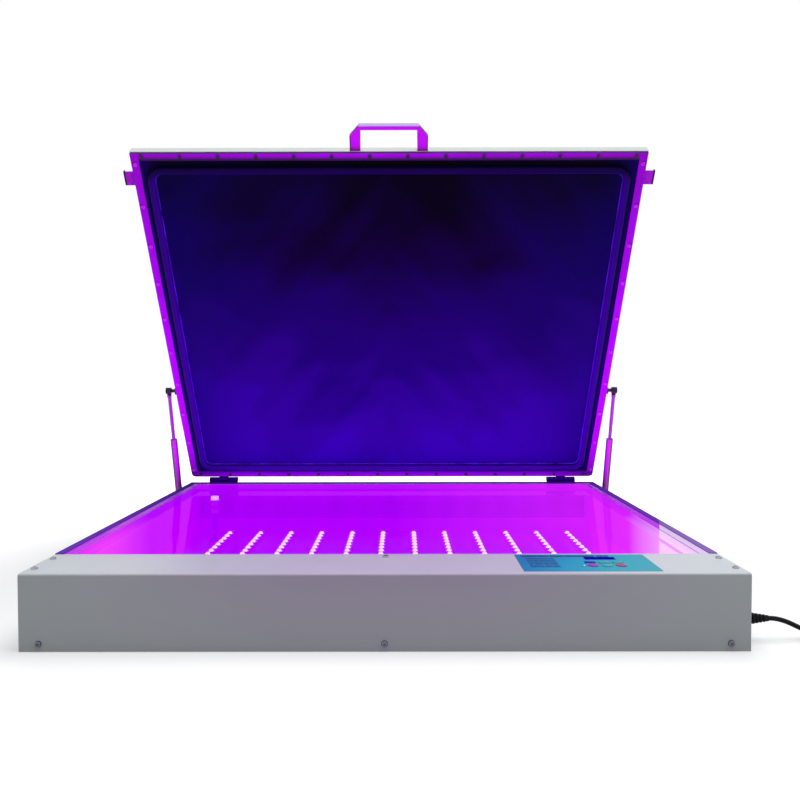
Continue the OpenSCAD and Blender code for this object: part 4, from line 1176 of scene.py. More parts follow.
@dataclass(frozen=True)
class LitPort(Finish):
    """The suction port's plastic with painted light: a pale glow above the glass and the violet glow below it."""

    glass_top: float = 0.1065
    axis: Pair = (-0.378, 0.1915)
    pale_radius: float = 0.0075
    pale_edge: float = 0.002
    pale_light: float = 0.6
    below: Colour = (0.46, 0.0, 0.98)

    def shader(self, graph: Graph) -> object:
        """Builds the finish's nodes and returns the shader.

        Args:
            graph: The graph to build in.

        Returns:
            The shader.
        """
        where = graph.place()
        split = graph.split(where)
        off = [graph.maths("SUBTRACT", split[name], centre) for name, centre in zip("XY", self.axis)]
        squares = [graph.maths("MULTIPLY", way, way) for way in off]
        reach = graph.maths("SQRT", graph.maths("ADD", *squares))
        above = graph.maths("GREATER_THAN", split["Z"], self.glass_top)
        pale = graph.span(reach, 1.0, 0.0, self.pale_radius, self.pale_radius + self.pale_edge)
        above = graph.maths("MULTIPLY", above, pale)
        # Painted light: pale above the glass, violet below it.
        light = graph.mixed(above, (*self.below, 1), (*shade(self.colour, self.pale_light), 1))
        inputs = {
            "Base Color": graph.mixed(above, (0.0, 0.0, 0.0, 1), self.tinted(graph, where)),
            "Roughness": self.roughness,
            "Specular IOR Level": self.gloss,
            "Emission Color": light,
            "Emission Strength": 1.0,
            "Normal": graph.bump(graph.noise(where, 900, 2, 0.5), 0.05, 0.0002),
        }
        return graph.principled(inputs)


@dataclass(frozen=True)
class LitLens(Finish):
    """A lamp's lens, near white in its middle and pink at its edge."""

    power: float = 1.15
    core: Colour = (1.0, 0.78, 1.0)
    falloff: float = 0.4

    def shader(self, graph: Graph) -> object:
        """Builds the finish's nodes and returns the shader.

        Args:
            graph: The graph to build in.

        Returns:
            The shader.
        """
        facing = graph.node("ShaderNodeLayerWeight", {"Blend": self.falloff}).outputs["Facing"]
        light = graph.ramp(facing, [(0.0, self.core), (1.0, self.colour)])
        inputs = {
            "Base Color": (*self.colour, 1), "Roughness": self.roughness,
            "Emission Color": light, "Emission Strength": self.power,
        }
        return graph.principled(inputs)


@dataclass(frozen=True)
class PrintedFilm(Finish):
    """The control label's film: blue at the left, running to teal at the right, under a matt skin."""

    sides: Pair = (0.192, 0.384)
    ends: Pair = (-0.471, -0.364)
    fall: Pair = (-0.06, 0.14)
    tones: tuple[tuple[float, Colour], ...] = (
        (0.0, (0.006, 0.18, 0.50)), (0.35, (0.01, 0.33, 0.60)), (0.72, (0.035, 0.43, 0.58)), (1.0, (0.06, 0.42, 0.54)),
    )
    heading: tuple[Pair, Pair] = ((0.200, -0.3850), (0.330, -0.3670))
    heading_rows: Pair = (0.018, 150.0)
    notes: tuple[Pair, Pair] = ((0.205, -0.450), (0.247, -0.388))
    note_rows: Pair = (0.0103, 330.0)
    ink: Colour = (0.004, 0.02, 0.20)
    ink_share: float = 0.85
    dots: float = 0.06

    def boxed(self, graph: Graph, split: object, low: Pair, high: Pair) -> object:
        """One inside a rectangle of the film and nothing outside it.

        Args:
            graph: The graph to build in.
            split: The separated object coordinates.
            low: The rectangle's near left corner.
            high: Its far right corner.

        Returns:
            The share.
        """
        inside = 1.0
        for name, start, end in zip("XY", low, high):
            after = graph.maths("GREATER_THAN", split[name], start)
            within = graph.maths("MULTIPLY", after, graph.maths("LESS_THAN", split[name], end))
            inside = graph.maths("MULTIPLY", inside, within)
        return inside

    def rows(self, graph: Graph, split: object) -> object:
        """Plain printed dashes that stand for the film's small print: a heading and a block of short rows.

        Args:
            graph: The graph to build in.
            split: The X, Y and Z of that place.

        Returns:
            The share of ink.
        """
        made = 0.0
        for (low, high), (pitch, dash) in ((self.heading, self.heading_rows), (self.notes, self.note_rows)):
            count = graph.maths("DIVIDE", graph.maths("SUBTRACT", split["Y"], low[1]), pitch)
            turns = graph.maths("FRACT", count)
            after, before = graph.maths("GREATER_THAN", turns, 0.2), graph.maths("LESS_THAN", turns, 0.8)
            along = graph.maths("MULTIPLY", split["X"], dash)
            spot = graph.node("ShaderNodeCombineXYZ", {"X": along, "Y": graph.maths("FLOOR", count)})
            dashes = graph.maths("GREATER_THAN", graph.noise(spot.outputs["Vector"], 1.0, 1), 0.4)
            line = graph.maths("MULTIPLY", graph.maths("MULTIPLY", after, before), dashes)
            made = graph.maths("ADD", made, graph.maths("MULTIPLY", line, self.boxed(graph, split, low, high)))
        return graph.maths("MINIMUM", made, self.ink_share)

    def shader(self, graph: Graph) -> object:
        """Builds the finish's nodes and returns the shader.

        Args:
            graph: The graph to build in.

        Returns:
            The shader.
        """
        where = graph.place()
        split = graph.split(where)
        across = graph.span(split["X"], 0, 1, *self.sides)
        deep = graph.span(split["Y"], *self.fall, *self.ends)
        colour = graph.ramp(graph.maths("SUBTRACT", across, deep), self.tones)
        colour = graph.mixed(self.rows(graph, split), colour, (*self.ink, 1))
        print_dots = graph.noise(where, 2600, 1)
        inputs = {
            "Base Color": graph.mixed(self.dots, colour, graph.ramp(print_dots, [(0.4, (0, 0, 0)), (0.6, (1, 1, 1))])),
            "Roughness": self.roughness,
            "Specular IOR Level": self.gloss,
            "Normal": graph.bump(print_dots, 0.06, 0.0001),
        }
        return graph.principled(inputs)


class LidPlane:
    """Heights above the shut lid's underside, read where the model stands with its lid open."""

    angle: float = math.radians(55.3)
    pin: Pair = (0.4905, 0.115)

    @classmethod
    def at_height(cls, height: float) -> Point:
        """The slopes along Y and Z and the offset of the plane at a height of the shut lid, in metres."""
        deep, high = math.sin(cls.angle), math.cos(cls.angle)
        return deep, high, cls.pin[0] * deep + cls.pin[1] * high + height - cls.pin[1]


class Finishes:
    """Every finish on the machine."""

    CABINET = CabinetPaint("cabinet_paint", (0.56, 0.585, 0.62), 0.42, gloss=0.15)
    COVER = CabinetPaint("cover_paint", (0.64, 0.68, 0.71), 0.42, tone=0.03, patch=3.0, gloss=0.15)
    ZINC = Spangle("galvanised_sheet", (0.6, 0.62, 0.65), 0.4)
    # The ledge and gasket glow with painted violet lamp light.
    LEDGE = LitTray("lit_ledge", (0.46, 0.0, 0.98), 0.6, gloss=0.0)
    GASKET = LitTray("lit_gasket", (0.42, 0.0, 0.94), 0.8, gloss=0.0)
    BRIGHT = Metal("bright_plate", (0.74, 0.74, 0.78), 0.26, along=(300, 300, 300), scratch=0.05)
    # The keepers' violet is the lamps' light painted on the steel.
    KEEPER = KeeperPlate(
        "keeper_plate", (0.54, 0.02, 0.72), 0.34, gloss=0.1, along=(300, 300, 300), scratch=0.08, metallic=0.1
    )
    # The hinges' dark violet is the lamps' light painted on dark steel; away is their plain colour on the far side.
    HINGE_LID = Metal(
        "lid_hinge_steel", (0.045, 0.001, 0.32), 0.5, gloss=0.05, away=(0.30, 0.30, 0.33),
        facing=(1.0, 0.0, 0.4915), along=(300, 30, 300), scratch=0.08, metallic=0.1,
    )
    HINGE_BASE = Metal(
        "base_hinge_steel", (0.045, 0.001, 0.32), 0.5, gloss=0.05, away=(0.30, 0.30, 0.33),
        facing=(1.0, -1.0, 0.3765), along=(300, 30, 300), scratch=0.08, metallic=0.1,
    )
    STUD = Metal("blackened_stud", (0.05, 0.03, 0.10), 0.34, along=(300, 30, 300), scratch=0.08, metallic=0.5)
    SCREW = Metal("zinc_screw", (0.40, 0.40, 0.44), 0.3, along=(900, 900, 900), scratch=0.1)
    # Painted shade: the front face's screws are a darker copy of the zinc screws.
    SCREW_FRONT = Metal("shaded_front_screw", (0.16, 0.16, 0.20), 0.2, along=(900, 900, 900), scratch=0.1)
    SCREW_DARK = Metal("black_screw", (0.05, 0.03, 0.07), 0.4, along=(900, 900, 900), scratch=0.1, metallic=0.4)
    # The side screws' pink is the lamps' violet light painted on.
    SCREW_PINK = Metal("lamplit_screw", (0.66, 0.05, 0.80), 0.3, along=(900, 900, 900), scratch=0.1, metallic=0.2)
    TUBE = Metal("lid_tube_aluminium", (0.70, 0.74, 0.73), 0.36, tone=0.04, along=(6, 500, 500), scratch=0.1)
    # The handle's violet is the lamps' light painted on; away is the plain aluminium.
    HANDLE = HandleMetal(
        "handle_aluminium", (0.62, 0.012, 0.76), 0.45, tone=0.04, gloss=0.1, away=(0.62, 0.63, 0.66),
        facing=LidPlane.at_height(0.1345), along=(500, 8, 8), scratch=0.1, metallic=0.1,
    )
    # The bars' violet is the lamps' light painted on.
    CLAMP = ClampPaint("clamp_bar_paint", (0.40, 0.008, 0.64), 0.45, tone=0.12, patch=9.0, gloss=0.05, grain=900.0)
    BLANKET = BlanketSkin("blanket_rubber", (0.02, 0.01, 0.1), 0.45, gloss=0.04)
    BACK = Rubber("blanket_back_rubber", (0.02, 0.02, 0.022), 0.55, gloss=0.2, bloom=0.1)
    # The bead's violet is the lamps' light painted on black rubber; the lip's patchy blue is painted glints.
    BEAD = BeadRubber("bead_rubber", (0.024, 0.0, 0.15), 0.4, gloss=0.05, bloom=0.0)
    LIP = Rubber("bead_lip_rubber", (0.05, 0.03, 0.34), 0.3, gloss=0.3, bloom=0.0, tone=0.8, patch=26.0)
    # The strips' indigo is the lamps' light painted on dark rubber.
    STRIP = StripRubber("rim_rubber", (0.17, 0.055, 0.52), 0.5, gloss=0.0, bloom=0.0)
    # The hose glows with painted violet lamp light.
    HOSE = LitHose("hose_silicone", (0.44, 0.0, 0.96), 0.5, gloss=0.0)
    CORD = Rubber("cord_sheath", (0.010, 0.008, 0.012), 0.5, gloss=0.15, bloom=0.0)
    GLASS = ClearGlass("exposure_glass", (0.98, 0.95, 1.0))
    # The tray and the lamp boards glow with painted violet lamp light.
    TRAY = LitTray("lit_reflector", (0.46, 0.0, 0.98), 0.3, gloss=0.1)
    LENS = LitLens("lit_lamp", (1.0, 0.55, 0.98), 0.2)
    BOARD = LitBoard("lamp_board", (0.50, 0.0, 0.98), 0.5, gloss=0.0)
    BLACK = Moulded("black_plastic", (0.018, 0.018, 0.02), 0.5)
    # The port's glow is painted light.
    PORT = LitPort("port_plastic", (0.50, 0.52, 0.90), 0.35, gloss=0.1)
    FILM = PrintedFilm("label_film", (0.1, 0.4, 0.6), 0.6, gloss=0.03)
    WINDOW = Moulded("display_window", (0.012, 0.003, 0.40), 0.6, gloss=0.0, relief=0.0)
    RED_CASE = Moulded("rocker_red", (0.55, 0.02, 0.02), 0.28, relief=0.05, glow=0.25)
    KEY_BLUE = Moulded("key_dark_blue", (0.03, 0.02, 0.42), 0.5)
    KEY_TEAL = Moulded("key_teal_grey", (0.09, 0.38, 0.46), 0.5)
    KEY_MAGENTA = Moulded("key_magenta", (0.40, 0.04, 0.52), 0.5)
    KEY_GREEN = Moulded("key_green", (0.06, 0.42, 0.42), 0.5)
    KEY_RED = Moulded("key_red", (0.46, 0.05, 0.24), 0.5)
    INDICATOR = Moulded("indicator_lens", (0.75, 0.85, 1.0), 0.2, relief=0.0, glow=0.6)
    MOTOR = Paint("motor_paint", (0.03, 0.03, 0.035), 0.3, coat=0.4)
    CAST = Metal("pump_casting", (0.34, 0.36, 0.38), 0.5, along=(250, 250, 250), scratch=0.5)
    MASK = Moulded("circuit_board", (0.02, 0.16, 0.07), 0.4)
    LOOM = Rubber("loom_sleeve", (0.3, 0.02, 0.02), 0.6, grain=900.0)
    # The springs' violet is the lamps' light painted on; away is their plain colour on the far side.
    SPRING = SpringTube(
        "spring_lacquer", (0.74, 0.07, 0.80), 0.22, tone=0.03, gloss=0.5, away=(0.16, 0.14, 0.19),
        facing=(1.0, 0.3305, 0.4655), grain=500.0, metallic=0.2,
    )
    CHROME = SpringRod(
        "hard_chrome", (0.46, 0.10, 0.54), 0.15, tone=0.02, away=(0.60, 0.60, 0.63),
        facing=(1.0, 0.3305, 0.4655), along=(20, 20, 800), scratch=0.02, metallic=0.6,
    )


# ---------------------------------------------------------------- workshop


class Workshop:
    """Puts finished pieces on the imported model's bodies."""

    def __init__(self, frame: dict) -> None:
        """Reads which body and which finish slot each node of the model has.

        Args:
            frame: What loading the model returned.
        """
        self.nodes: dict[str, bpy.types.Object] = frame["nodes"]
        groups = frame["record"]["behaviour"]["bodies"]
        self.body = {node: name for name, members in groups.items() for node in members}
        self.slot = {part["node"]: part["material_slot"] for part in frame["record"]["subparts"]}

    def dress(self, finish: Finish, *nodes: str) -> None:
        """Gives nodes of the model a finish and leaves their shape as it is.

        Args:
            finish: The finish.
            nodes: The nodes' names.
        """
        for node in nodes:
            mesh = self.nodes[node].data
            mesh.materials.clear()
            mesh.materials.append(finish.material())

    def fit(
        self, form: Form, name: str, finish: Finish, *replaces: str, body: str | None = None, smooth: float = 32
    ) -> bpy.types.Object:
        """Makes a piece from a form and fixes it to its body.

        Args:
            form: The piece's shape.
            name: The piece's name.
            finish: Its finish.
            replaces: The model's nodes that it stands for.
            body: The body it rides on, if it isn't the first replaced node's.
            smooth: The angle in degrees above which its edges stay sharp.

        Returns:
            The piece.
        """
        made = form.to_object(name, smooth)
        self.mount(made, finish, *replaces, body=body)
        return made

    def mount(
        self, made: bpy.types.Object, finish: Finish, *replaces: str, body: str | None = None
    ) -> bpy.types.Object:
        """Fixes a finished object to its body, with its finish and the nodes that it stands for.

        Args:
            made: The object.
            finish: Its finish.
            replaces: The model's nodes that it stands for.
            body: The body it rides on, if it isn't the first replaced node's.

        Returns:
            The object.
        """
        made.data.materials.clear()
        made.data.materials.append(finish.material())
        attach(made, body or self.body[replaces[0]])
        if replaces:
            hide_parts(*replaces)
        LOG.info("%s: %d faces", made.name, len(getattr(made.data, "polygons", ())))
        return made

    def edged(
        self, node: str, finish: Finish, width: float, segments: int = 2, angle: float = 32, smooth: float = 50
    ) -> bpy.types.Object:
        """Replaces a node with a copy whose edges are softly rounded.

        Args:
            node: The node.
            finish: The copy's finish.
            width: The width of the rounding.
            segments: How many steps it has.
            angle: Edges sharper than this many degrees are rounded.
            smooth: The angle above which the copy's edges stay sharp.

        Returns:
            The copy.
        """
        made = self.fit(Form.of_node(self.nodes[node]), f"{node}_shell", finish, node, smooth=smooth)
        bevel = made.modifiers.new("edge", "BEVEL")
        bevel.width = width * MM
        bevel.segments = segments
        bevel.limit_method = "ANGLE"
        bevel.angle_limit = math.radians(angle)
        bevel.use_clamp_overlap = True
        bevel.harden_normals = True
        bevel.profile = 0.5
        return made


# ---------------------------------------------------------------- studio


@dataclass
class Studio:
    """The camera, the lamps, the world and the floor."""

    eye: Point = (0.0237, -1.6394, 0.3805)
    pitch: float = -1.83
    roll: float = 0.09
    yaw: float = 0.1
    lens: float = 38.49
    film_width: float = 36.0
    view_end: float = 60.0
    floor_size: float = 9.0
    floor_drop: float = 0.4
    floor_grey: Pair = (0.42, 0.46)
    floor_lift: Pair = (0.42, 1.0)
    floor_reach: Pair = (0.7, 1.6)
    sky_light: Pair = (0.15, 0.5)

    def camera(self) -> None:
        """Sets the camera in front of the machine, a little above its glass."""
        data = bpy.data.cameras.new("camera")
        data.lens = self.lens
        data.sensor_width = self.film_width
        data.sensor_fit = "HORIZONTAL"
        data.clip_end = self.view_end
        made = bpy.data.objects.new("camera", data)
        made.location = self.eye
        made.rotation_mode = "XYZ"
        made.rotation_euler = (math.radians(90 + self.pitch), math.radians(self.roll), math.radians(self.yaw))
        bpy.context.scene.collection.objects.link(made)
        bpy.context.scene.camera = made

    def lamp(
        self, name: str, size: Pair, power: float, colour: Colour, place: Point, aim: Point
    ) -> None:
        """Adds a soft panel lamp.

        Args:
            name: The lamp's name.
            size: Its width and height in metres.
            power: Its power in watts.
            colour: Its colour.
            place: Where it stands.
            aim: The point that it faces.
        """
        data = bpy.data.lights.new(name, "AREA")
        data.shape = "RECTANGLE"
        data.size, data.size_y = size
        data.energy = power
        data.color = colour
        made = bpy.data.objects.new(name, data)
        made.location = place
        made.rotation_euler = (Vector(aim) - Vector(place)).to_track_quat("-Z", "Y").to_euler()
        made.visible_camera = made.visible_glossy = False
        bpy.context.scene.collection.objects.link(made)

    def lamps(self) -> None:
        """Adds the white panel overhead and the violet light that comes up through the glass."""
        self.lamp(
            "top_panel", size=(2.4, 1.4), power=40, colour=(1, 1, 1), place=(0.35, 0, 2.4), aim=(0.1, 0, 0)
        )
        self.lamp(
            "glass_glow", size=(0.9, 0.76), power=13, colour=(0.62, 0.015, 0.9),
            place=(0, 0.05, 0.1102), aim=(0, 0.05, 1),
        )

    def world(self) -> None:
        """Lights the room from a plain sky that is dim at the horizon, and white where it is seen."""
        world = bpy.data.worlds.new("studio")
        world.use_nodes = True
        graph = Graph(world.node_tree)
        way = graph.node("ShaderNodeTexCoord").outputs["Generated"]
        up = graph.split(way)["Z"]
        level = graph.span(up, *self.sky_light, 0.0, 1.0)
        soft = graph.node("ShaderNodeBackground", {"Color": (0.96, 0.98, 1.0, 1), "Strength": level})
        white = graph.node("ShaderNodeBackground", {"Color": (1, 1, 1, 1), "Strength": 1.0})
        mix = graph.node("ShaderNodeMixShader", {0: graph.seen(), 1: soft.outputs[0], 2: white.outputs[0]})
        graph.node("ShaderNodeOutputWorld", {"Surface": mix.outputs[0]})
        bpy.context.scene.world = world

    def floor(self) -> None:
        """Lays the pale floor, which shows white and keeps the machine's shadow."""
        form = Form()
        half = self.floor_size / 2 / MM
        form.plate((-half, -half), (half, half), 0, z=-self.floor_drop)
        floor = form.to_object("floor")
        made = bpy.data.materials.new("floor_paper")
        made.use_nodes = True
        graph = Graph(made.node_tree)
        where = graph.place()
        tones = [(place, (grey,) * 3) for place, grey in zip(CLOUD, self.floor_grey)]
        fibre = graph.ramp(graph.noise(where, 300, 3), tones)
        grey = graph.node("ShaderNodeBsdfDiffuse", {"Color": fibre})
        pale = graph.node("ShaderNodeBsdfDiffuse", {"Color": (0.7, 0.7, 0.7, 1)})
        away = graph.node("ShaderNodeVectorMath", {0: where}, operation="LENGTH").outputs["Value"]
        level = graph.span(away, *self.floor_lift, *self.floor_reach)
        lift = graph.node("ShaderNodeEmission", {"Color": (1, 1, 1, 1), "Strength": level})
        bright = graph.node("ShaderNodeAddShader", {0: pale.outputs[0], 1: lift.outputs[0]})
        mix = graph.node("ShaderNodeMixShader", {0: graph.seen(), 1: grey.outputs[0], 2: bright.outputs[0]})
        graph.finish(mix.outputs[0])
        floor.data.materials.append(made)

    def build(self) -> None:
        """Sets up everything but the camera."""
        self.lamps()
        self.world()
        self.floor()
        bpy.context.scene.view_settings.view_transform = "Standard"


# ---------------------------------------------------------------- fasteners


@dataclass
class ScrewHeads:
    """Pan-head screws with a cross recess, all of one size."""

    radius: float
    height: float
    places: list[Matrix] = field(default_factory=list)
    sides: int = 12
    recess: float = 0.36
    recess_depth: float = 0.4
    recess_taper: float = 0.8

    def form(self) -> Form:
        """One head at the origin, repeated at each place.

        Returns:
            The heads.
        """
        form = Form()
        r, h = self.radius, self.height
        rings = [(r, 0.0), (r, 0.45 * h), (0.88 * r, 0.8 * h), (0.6 * r, h)]
        loops: list[list[bmesh.types.BMEdge]] = []
        for radius, z in rings:
            verts = bmesh.ops.create_circle(form.bm, segments=self.sides, radius=radius)["verts"]
            bmesh.ops.translate(form.bm, vec=(0, 0, z), verts=verts)
            loops.append(list({e for v in verts for e in v.link_edges}))
        for lower, upper in zip(loops, loops[1:]):
            bmesh.ops.bridge_loops(form.bm, edges=lower + upper)
        grid = bmesh.ops.create_grid(form.bm, x_segments=3, y_segments=3, size=self.recess * r)["verts"]
        bmesh.ops.translate(form.bm, vec=(0, 0, h), verts=grid)
        faces = list({f for v in grid for f in v.link_faces})
        rim = [e for e in {e for v in grid for e in v.link_edges} if len(e.link_faces) == 1]
        bmesh.ops.bridge_loops(form.bm, edges=loops[-1] + rim)
        cross = [f for f in faces if min(abs(f.calc_center_median().x), abs(f.calc_center_median().y)) < 0.01]
        pressed = bmesh.ops.extrude_face_region(form.bm, geom=cross)["geom"]
        verts = [g for g in pressed if isinstance(g, bmesh.types.BMVert)]
        bmesh.ops.translate(form.bm, vec=(0, 0, -self.recess_depth * h), verts=verts)
        bmesh.ops.scale(form.bm, vec=(self.recess_taper, self.recess_taper, 1), verts=verts)
        bmesh.ops.contextual_create(form.bm, geom=loops[0])
        bmesh.ops.recalc_face_normals(form.bm, faces=form.bm.faces)
        return form.with_copies(self.places)


# ---------------------------------------------------------------- cord


@dataclass
class MainsCord:
    """The mains cord with its strain relief, its coil on the table and its moulded plug."""

    wall: Point = (500.0, -433.5, 31.0)
    relief_length: float = 45.0
    relief_radius: float = 11.5
    relief_ribs: int = 7
    radius: float = 3.5
    coil_centre: Pair = (632.0, -476.2)
    coil_outer: float = 52.7
    coil_inner: float = 31.5
    layer_turns: int = 3
    points_per_turn: int = 16
    drop_steps: int = 12
    climb_steps: int = 4
    end_steps: int = 9
    plug_origin: Point = (632.0, -541.2, 11.0)
    plug_size: Point = (34.0, 25.0, 22.0)
    plug_round: float = 4.2
    plug_taper: Pair = (0.66, 0.72)
    grips: int = 4
    grip_pitch: int = 5
    grip_radius: float = 6.6
    grip_in: float = 6.3
    grip_half: float = 0.7
    blade_side: float = 6.35
    blade_half: Pair = (0.75, 3.2)
    blade_length: float = 17.0
    earth_side: float = 7.5
    neck: float = 10.0

    @staticmethod
    def ease(t: float) -> float:
        """Runs smoothly from 0 to 1 as t does."""
        t = min(1.0, max(0.0, t))
        return (1 - math.cos(math.pi * t)) / 2

    def coiled(self, angle: float, radius: float, z: float) -> Vector:
        """A point of the coil.

        Args:
            angle: Its angle in degrees.
            radius: How far it is from the coil's middle.
            z: Its height.

        Returns:
            The point.
        """
        a = math.radians(angle)
        return Vector((self.coil_centre[0] + radius * math.cos(a), self.coil_centre[1] + radius * math.sin(a), z))

    def route(self) -> list[Vector]:
        """The cord's middle line: down to the table, in and out through the coil and round to the plug.

        Returns:
            The line's points.
        """
        start = Vector(self.wall) + Vector((self.relief_length, 0, 0))
        end = self.coiled(90, self.coil_outer, self.radius)
        steps = self.drop_steps
        points = [
            Vector((start.x + t * (end.x - start.x), start.y + self.ease(t) * (end.y - start.y),
                    start.z + self.ease(t) * (end.z - start.z)))
            for t in (i / steps for i in range(steps))
        ]
        count = self.layer_turns * self.points_per_turn
        fall = self.coil_outer - self.coil_inner
        for i in range(count + 1):
            t = i / count
            points.append(self.coiled(90 - 360 * self.layer_turns * t, self.coil_outer - fall * t, self.radius))
        climb, step = self.climb_steps, 360 / self.points_per_turn
        for i in range(1, climb + 1):
            points.append(self.coiled(90 - step * i, self.coil_inner, self.radius * (1 + 2 * self.ease(i / climb))))
        out = count - climb
        for i in range(1, out + 1):
            t = i / count
            points.append(self.coiled(-360 * self.layer_turns * t, self.coil_inner + fall * t, 3 * self.radius))
        last = -360 * self.layer_turns * out / count
        reach = self.coil_inner + fall * out / count
        far = self.coil_centre[1] - self.plug_origin[1]
        for i in range(1, self.end_steps + 1):
            t = i / self.end_steps
            wide = reach + (far - reach) * t ** 1.6
            z = 3 * self.radius - 1.75 * self.radius * self.ease(t / 0.55)
            z += (self.plug_origin[2] - 1.25 * self.radius) * self.ease((t - 0.55) / 0.45)
            points.append(self.coiled(last - 180 * t, wide, z))
        return points

    def relief(self) -> Form:
        """The ribbed strain relief, with its neck and nut inside the wall.

        Returns:
            The relief's shape.
        """
        long, wide, slim = self.relief_length, self.relief_radius, self.radius + 0.6
        profile = [(0, -1), (wide - 1, -1), (wide, 0), (wide, 2.2), (wide - 0.8, 3)]
        ribs = self.relief_ribs
        for i in range(ribs):
            z = 4 + i * (long - 8) / ribs
            r = wide - 1.2 - (wide - 1.6 - slim) * i / ribs
            profile += [(r - 1.3, z), (r, z + 0.7), (r, z + 3.3), (r - 1.3, z + 4.0)]
        profile += [(slim + 0.6, long - 3), (slim, long - 0.6), (self.radius - 0.3, long), (0, long)]
        form = Form()
        form.turned(profile, 24, at(*self.wall, Axis.RIGHT))
        nut = [(0, -7.5), (11, -7.5), (12, -6.5), (12, -2.6), (11, -1.6), (0, -1.6)]
        form.turned(nut, 6, at(*self.wall, Axis.RIGHT))
        form.turned([(0, -3), (7.5, -3), (7.5, 0.5), (0, 0.5)], 20, at(*self.wall, Axis.RIGHT))
        return form

    def plug_place(self) -> Matrix:
        """Where the plug lies, its blades to the left."""
        return Matrix.Translation(self.plug_origin) @ Matrix.Rotation(math.pi, 4, "Z")

    def plug_body(self) -> Form:
        """The moulded plug: a ribbed neck and a rounded body with finger grips.

        Returns:
            The body's shape.
        """
        long, wide, high = self.plug_size
        form = Form()
        form.block((self.neck, -wide / 2, -high / 2), (self.neck + long, wide / 2, high / 2))
        narrow = [v for v in form.bm.verts if v.co.x < self.neck + 1]
        bmesh.ops.scale(form.bm, vec=(1, *self.plug_taper), verts=narrow)
        form.bevelled(self.plug_round, 4)
        r, half = self.grip_radius, self.grip_half
        for side in (-1, 1):
            for i in range(self.grips):
                x = self.neck + 0.3 * long + i * self.grip_pitch
                form.turned(
                    [(0, -half), (r, -half), (r, half), (0, half)], 14,
                    Matrix.Translation((x, side * (wide / 2 - self.grip_in + 0.06 * i), 0)) @ Axis.RIGHT.turn(),
                )
        neck = [(0, -1), (self.radius - 0.2, -1), (self.radius + 0.8, 0)]
        for i in range(3):
            z = 0.6 + 3.2 * i
            r = self.radius + 1.4 + 0.7 * i
            neck += [(r, z), (r, z + 2.0), (r - 1, z + 2.3), (r - 1, z + 3.0)]
        neck += [(self.radius + 3.4, self.neck), (self.radius + 3.4, self.neck + 4), (0, self.neck + 4)]
        form.turned(neck, 18, Axis.RIGHT.turn())
        return form.moved(self.plug_place())

    def plug_pins(self) -> Form:
        """The two flat blades and the round earth pin.

        Returns:
            The pins' shape.
        """
        form = Form()
        face = self.neck + self.plug_size[0]
        thick, tall = self.blade_half
        for y in (-self.blade_side, self.blade_side):
            form.block((face - 2, y - thick, -tall), (face + self.blade_length, y + thick, tall))
        form.bevelled(0.5, 2)
        pin = [(0, face - 2), (2.4, face - 2), (2.4, face + 15.5), (1.4, face + 19), (0, face + 19)]
        form.turned(pin, 16, Matrix.Translation((0, 0, self.earth_side)) @ Axis.RIGHT.turn())
        return form.moved(self.plug_place())

    def build(self, shop: Workshop) -> None:
        """Args:
            shop: The workshop that fits the pieces.
        """
        points = self.route()
        curve = bpy.data.curves.new("mains_cord", "CURVE")
        curve.dimensions = "3D"
        curve.bevel_depth = self.radius * MM
        curve.bevel_resolution = 4
        curve.resolution_u = 3
        curve.use_fill_caps = True
        spline = curve.splines.new("BEZIER")
        spline.bezier_points.add(len(points) - 1)
        for knot, point in zip(spline.bezier_points, points):
            knot.co = point * MM
            knot.handle_left_type = knot.handle_right_type = "AUTO"
        cord = bpy.data.objects.new("mains_cord", curve)
        bpy.context.scene.collection.objects.link(cord)
        shop.mount(cord, Finishes.CORD, "cord_lead", "cord_coil", "cord_tail")
        body = shop.fit(self.plug_body(), "plug_body", Finishes.BLACK, "mains_plug", smooth=40)
        pins = shop.fit(self.plug_pins(), "plug_pins", Finishes.BRIGHT, "mains_plug", smooth=40)
        shop.fit(self.relief(), "relief_sleeve", Finishes.CORD, "strain_relief", smooth=40)


# ---------------------------------------------------------------- cabinet


@dataclass
class Cabinet:
    """The sheet-steel cabinet with its cover, rims, glass and fasteners."""

    front: float = -483.5
    height: float = 107.0
    head_radius: float = 4.75
    head_height: float = 3.0
    panel_side: float = 490.0
    panel_rows: Pair = (31.0, 95.0)
    panel_middle: float = 105.0
    foot_side: float = 473.0
    foot_height: float = 11.0

    def cover_screws(self, on_top: bool) -> ScrewHeads:
        """The screws on the panel, or the ones along the foot of the front face.

        Args:
            on_top: Whether they are the panel's.

        Returns:
            The screws.
        """
        side, foot = self.panel_side, self.foot_side
        spots = [(x, self.front + y) for x in (-side, side) for y in self.panel_rows]
        spots.append((0, self.front + self.panel_middle))
        places = [at(x, y, self.height) for x, y in spots]
        if not on_top:
            places = [at(x, self.front, self.foot_height, Axis.FRONT) for x in (-foot, 0, foot)]
        return ScrewHeads(self.head_radius, self.head_height, places)

    def build(self, shop: Workshop) -> None:
        """Dresses the cabinet.

        Args:
            shop: The workshop that fits the pieces.
        """
        shop.edged("cabinet_pan", Finishes.CABINET, 0.45)
        shop.edged("front_cover", Finishes.COVER, 0.35)
        shop.edged("rim_strips", Finishes.STRIP, 0.6, 3)
        shop.dress(Finishes.ZINC, "compartment_wall")
        shop.dress(Finishes.LEDGE, "glass_ledge")
        shop.dress(Finishes.GASKET, "glass_gasket")
        shop.edged("exposure_glass", Finishes.GLASS, 0.8, 2)
        shop.fit(self.cover_screws(True).form(), "panel_screw_heads", Finishes.SCREW, "cover_screws")
        shop.fit(self.cover_screws(False).form(), "front_screw_heads", Finishes.SCREW_FRONT, "cover_screws")


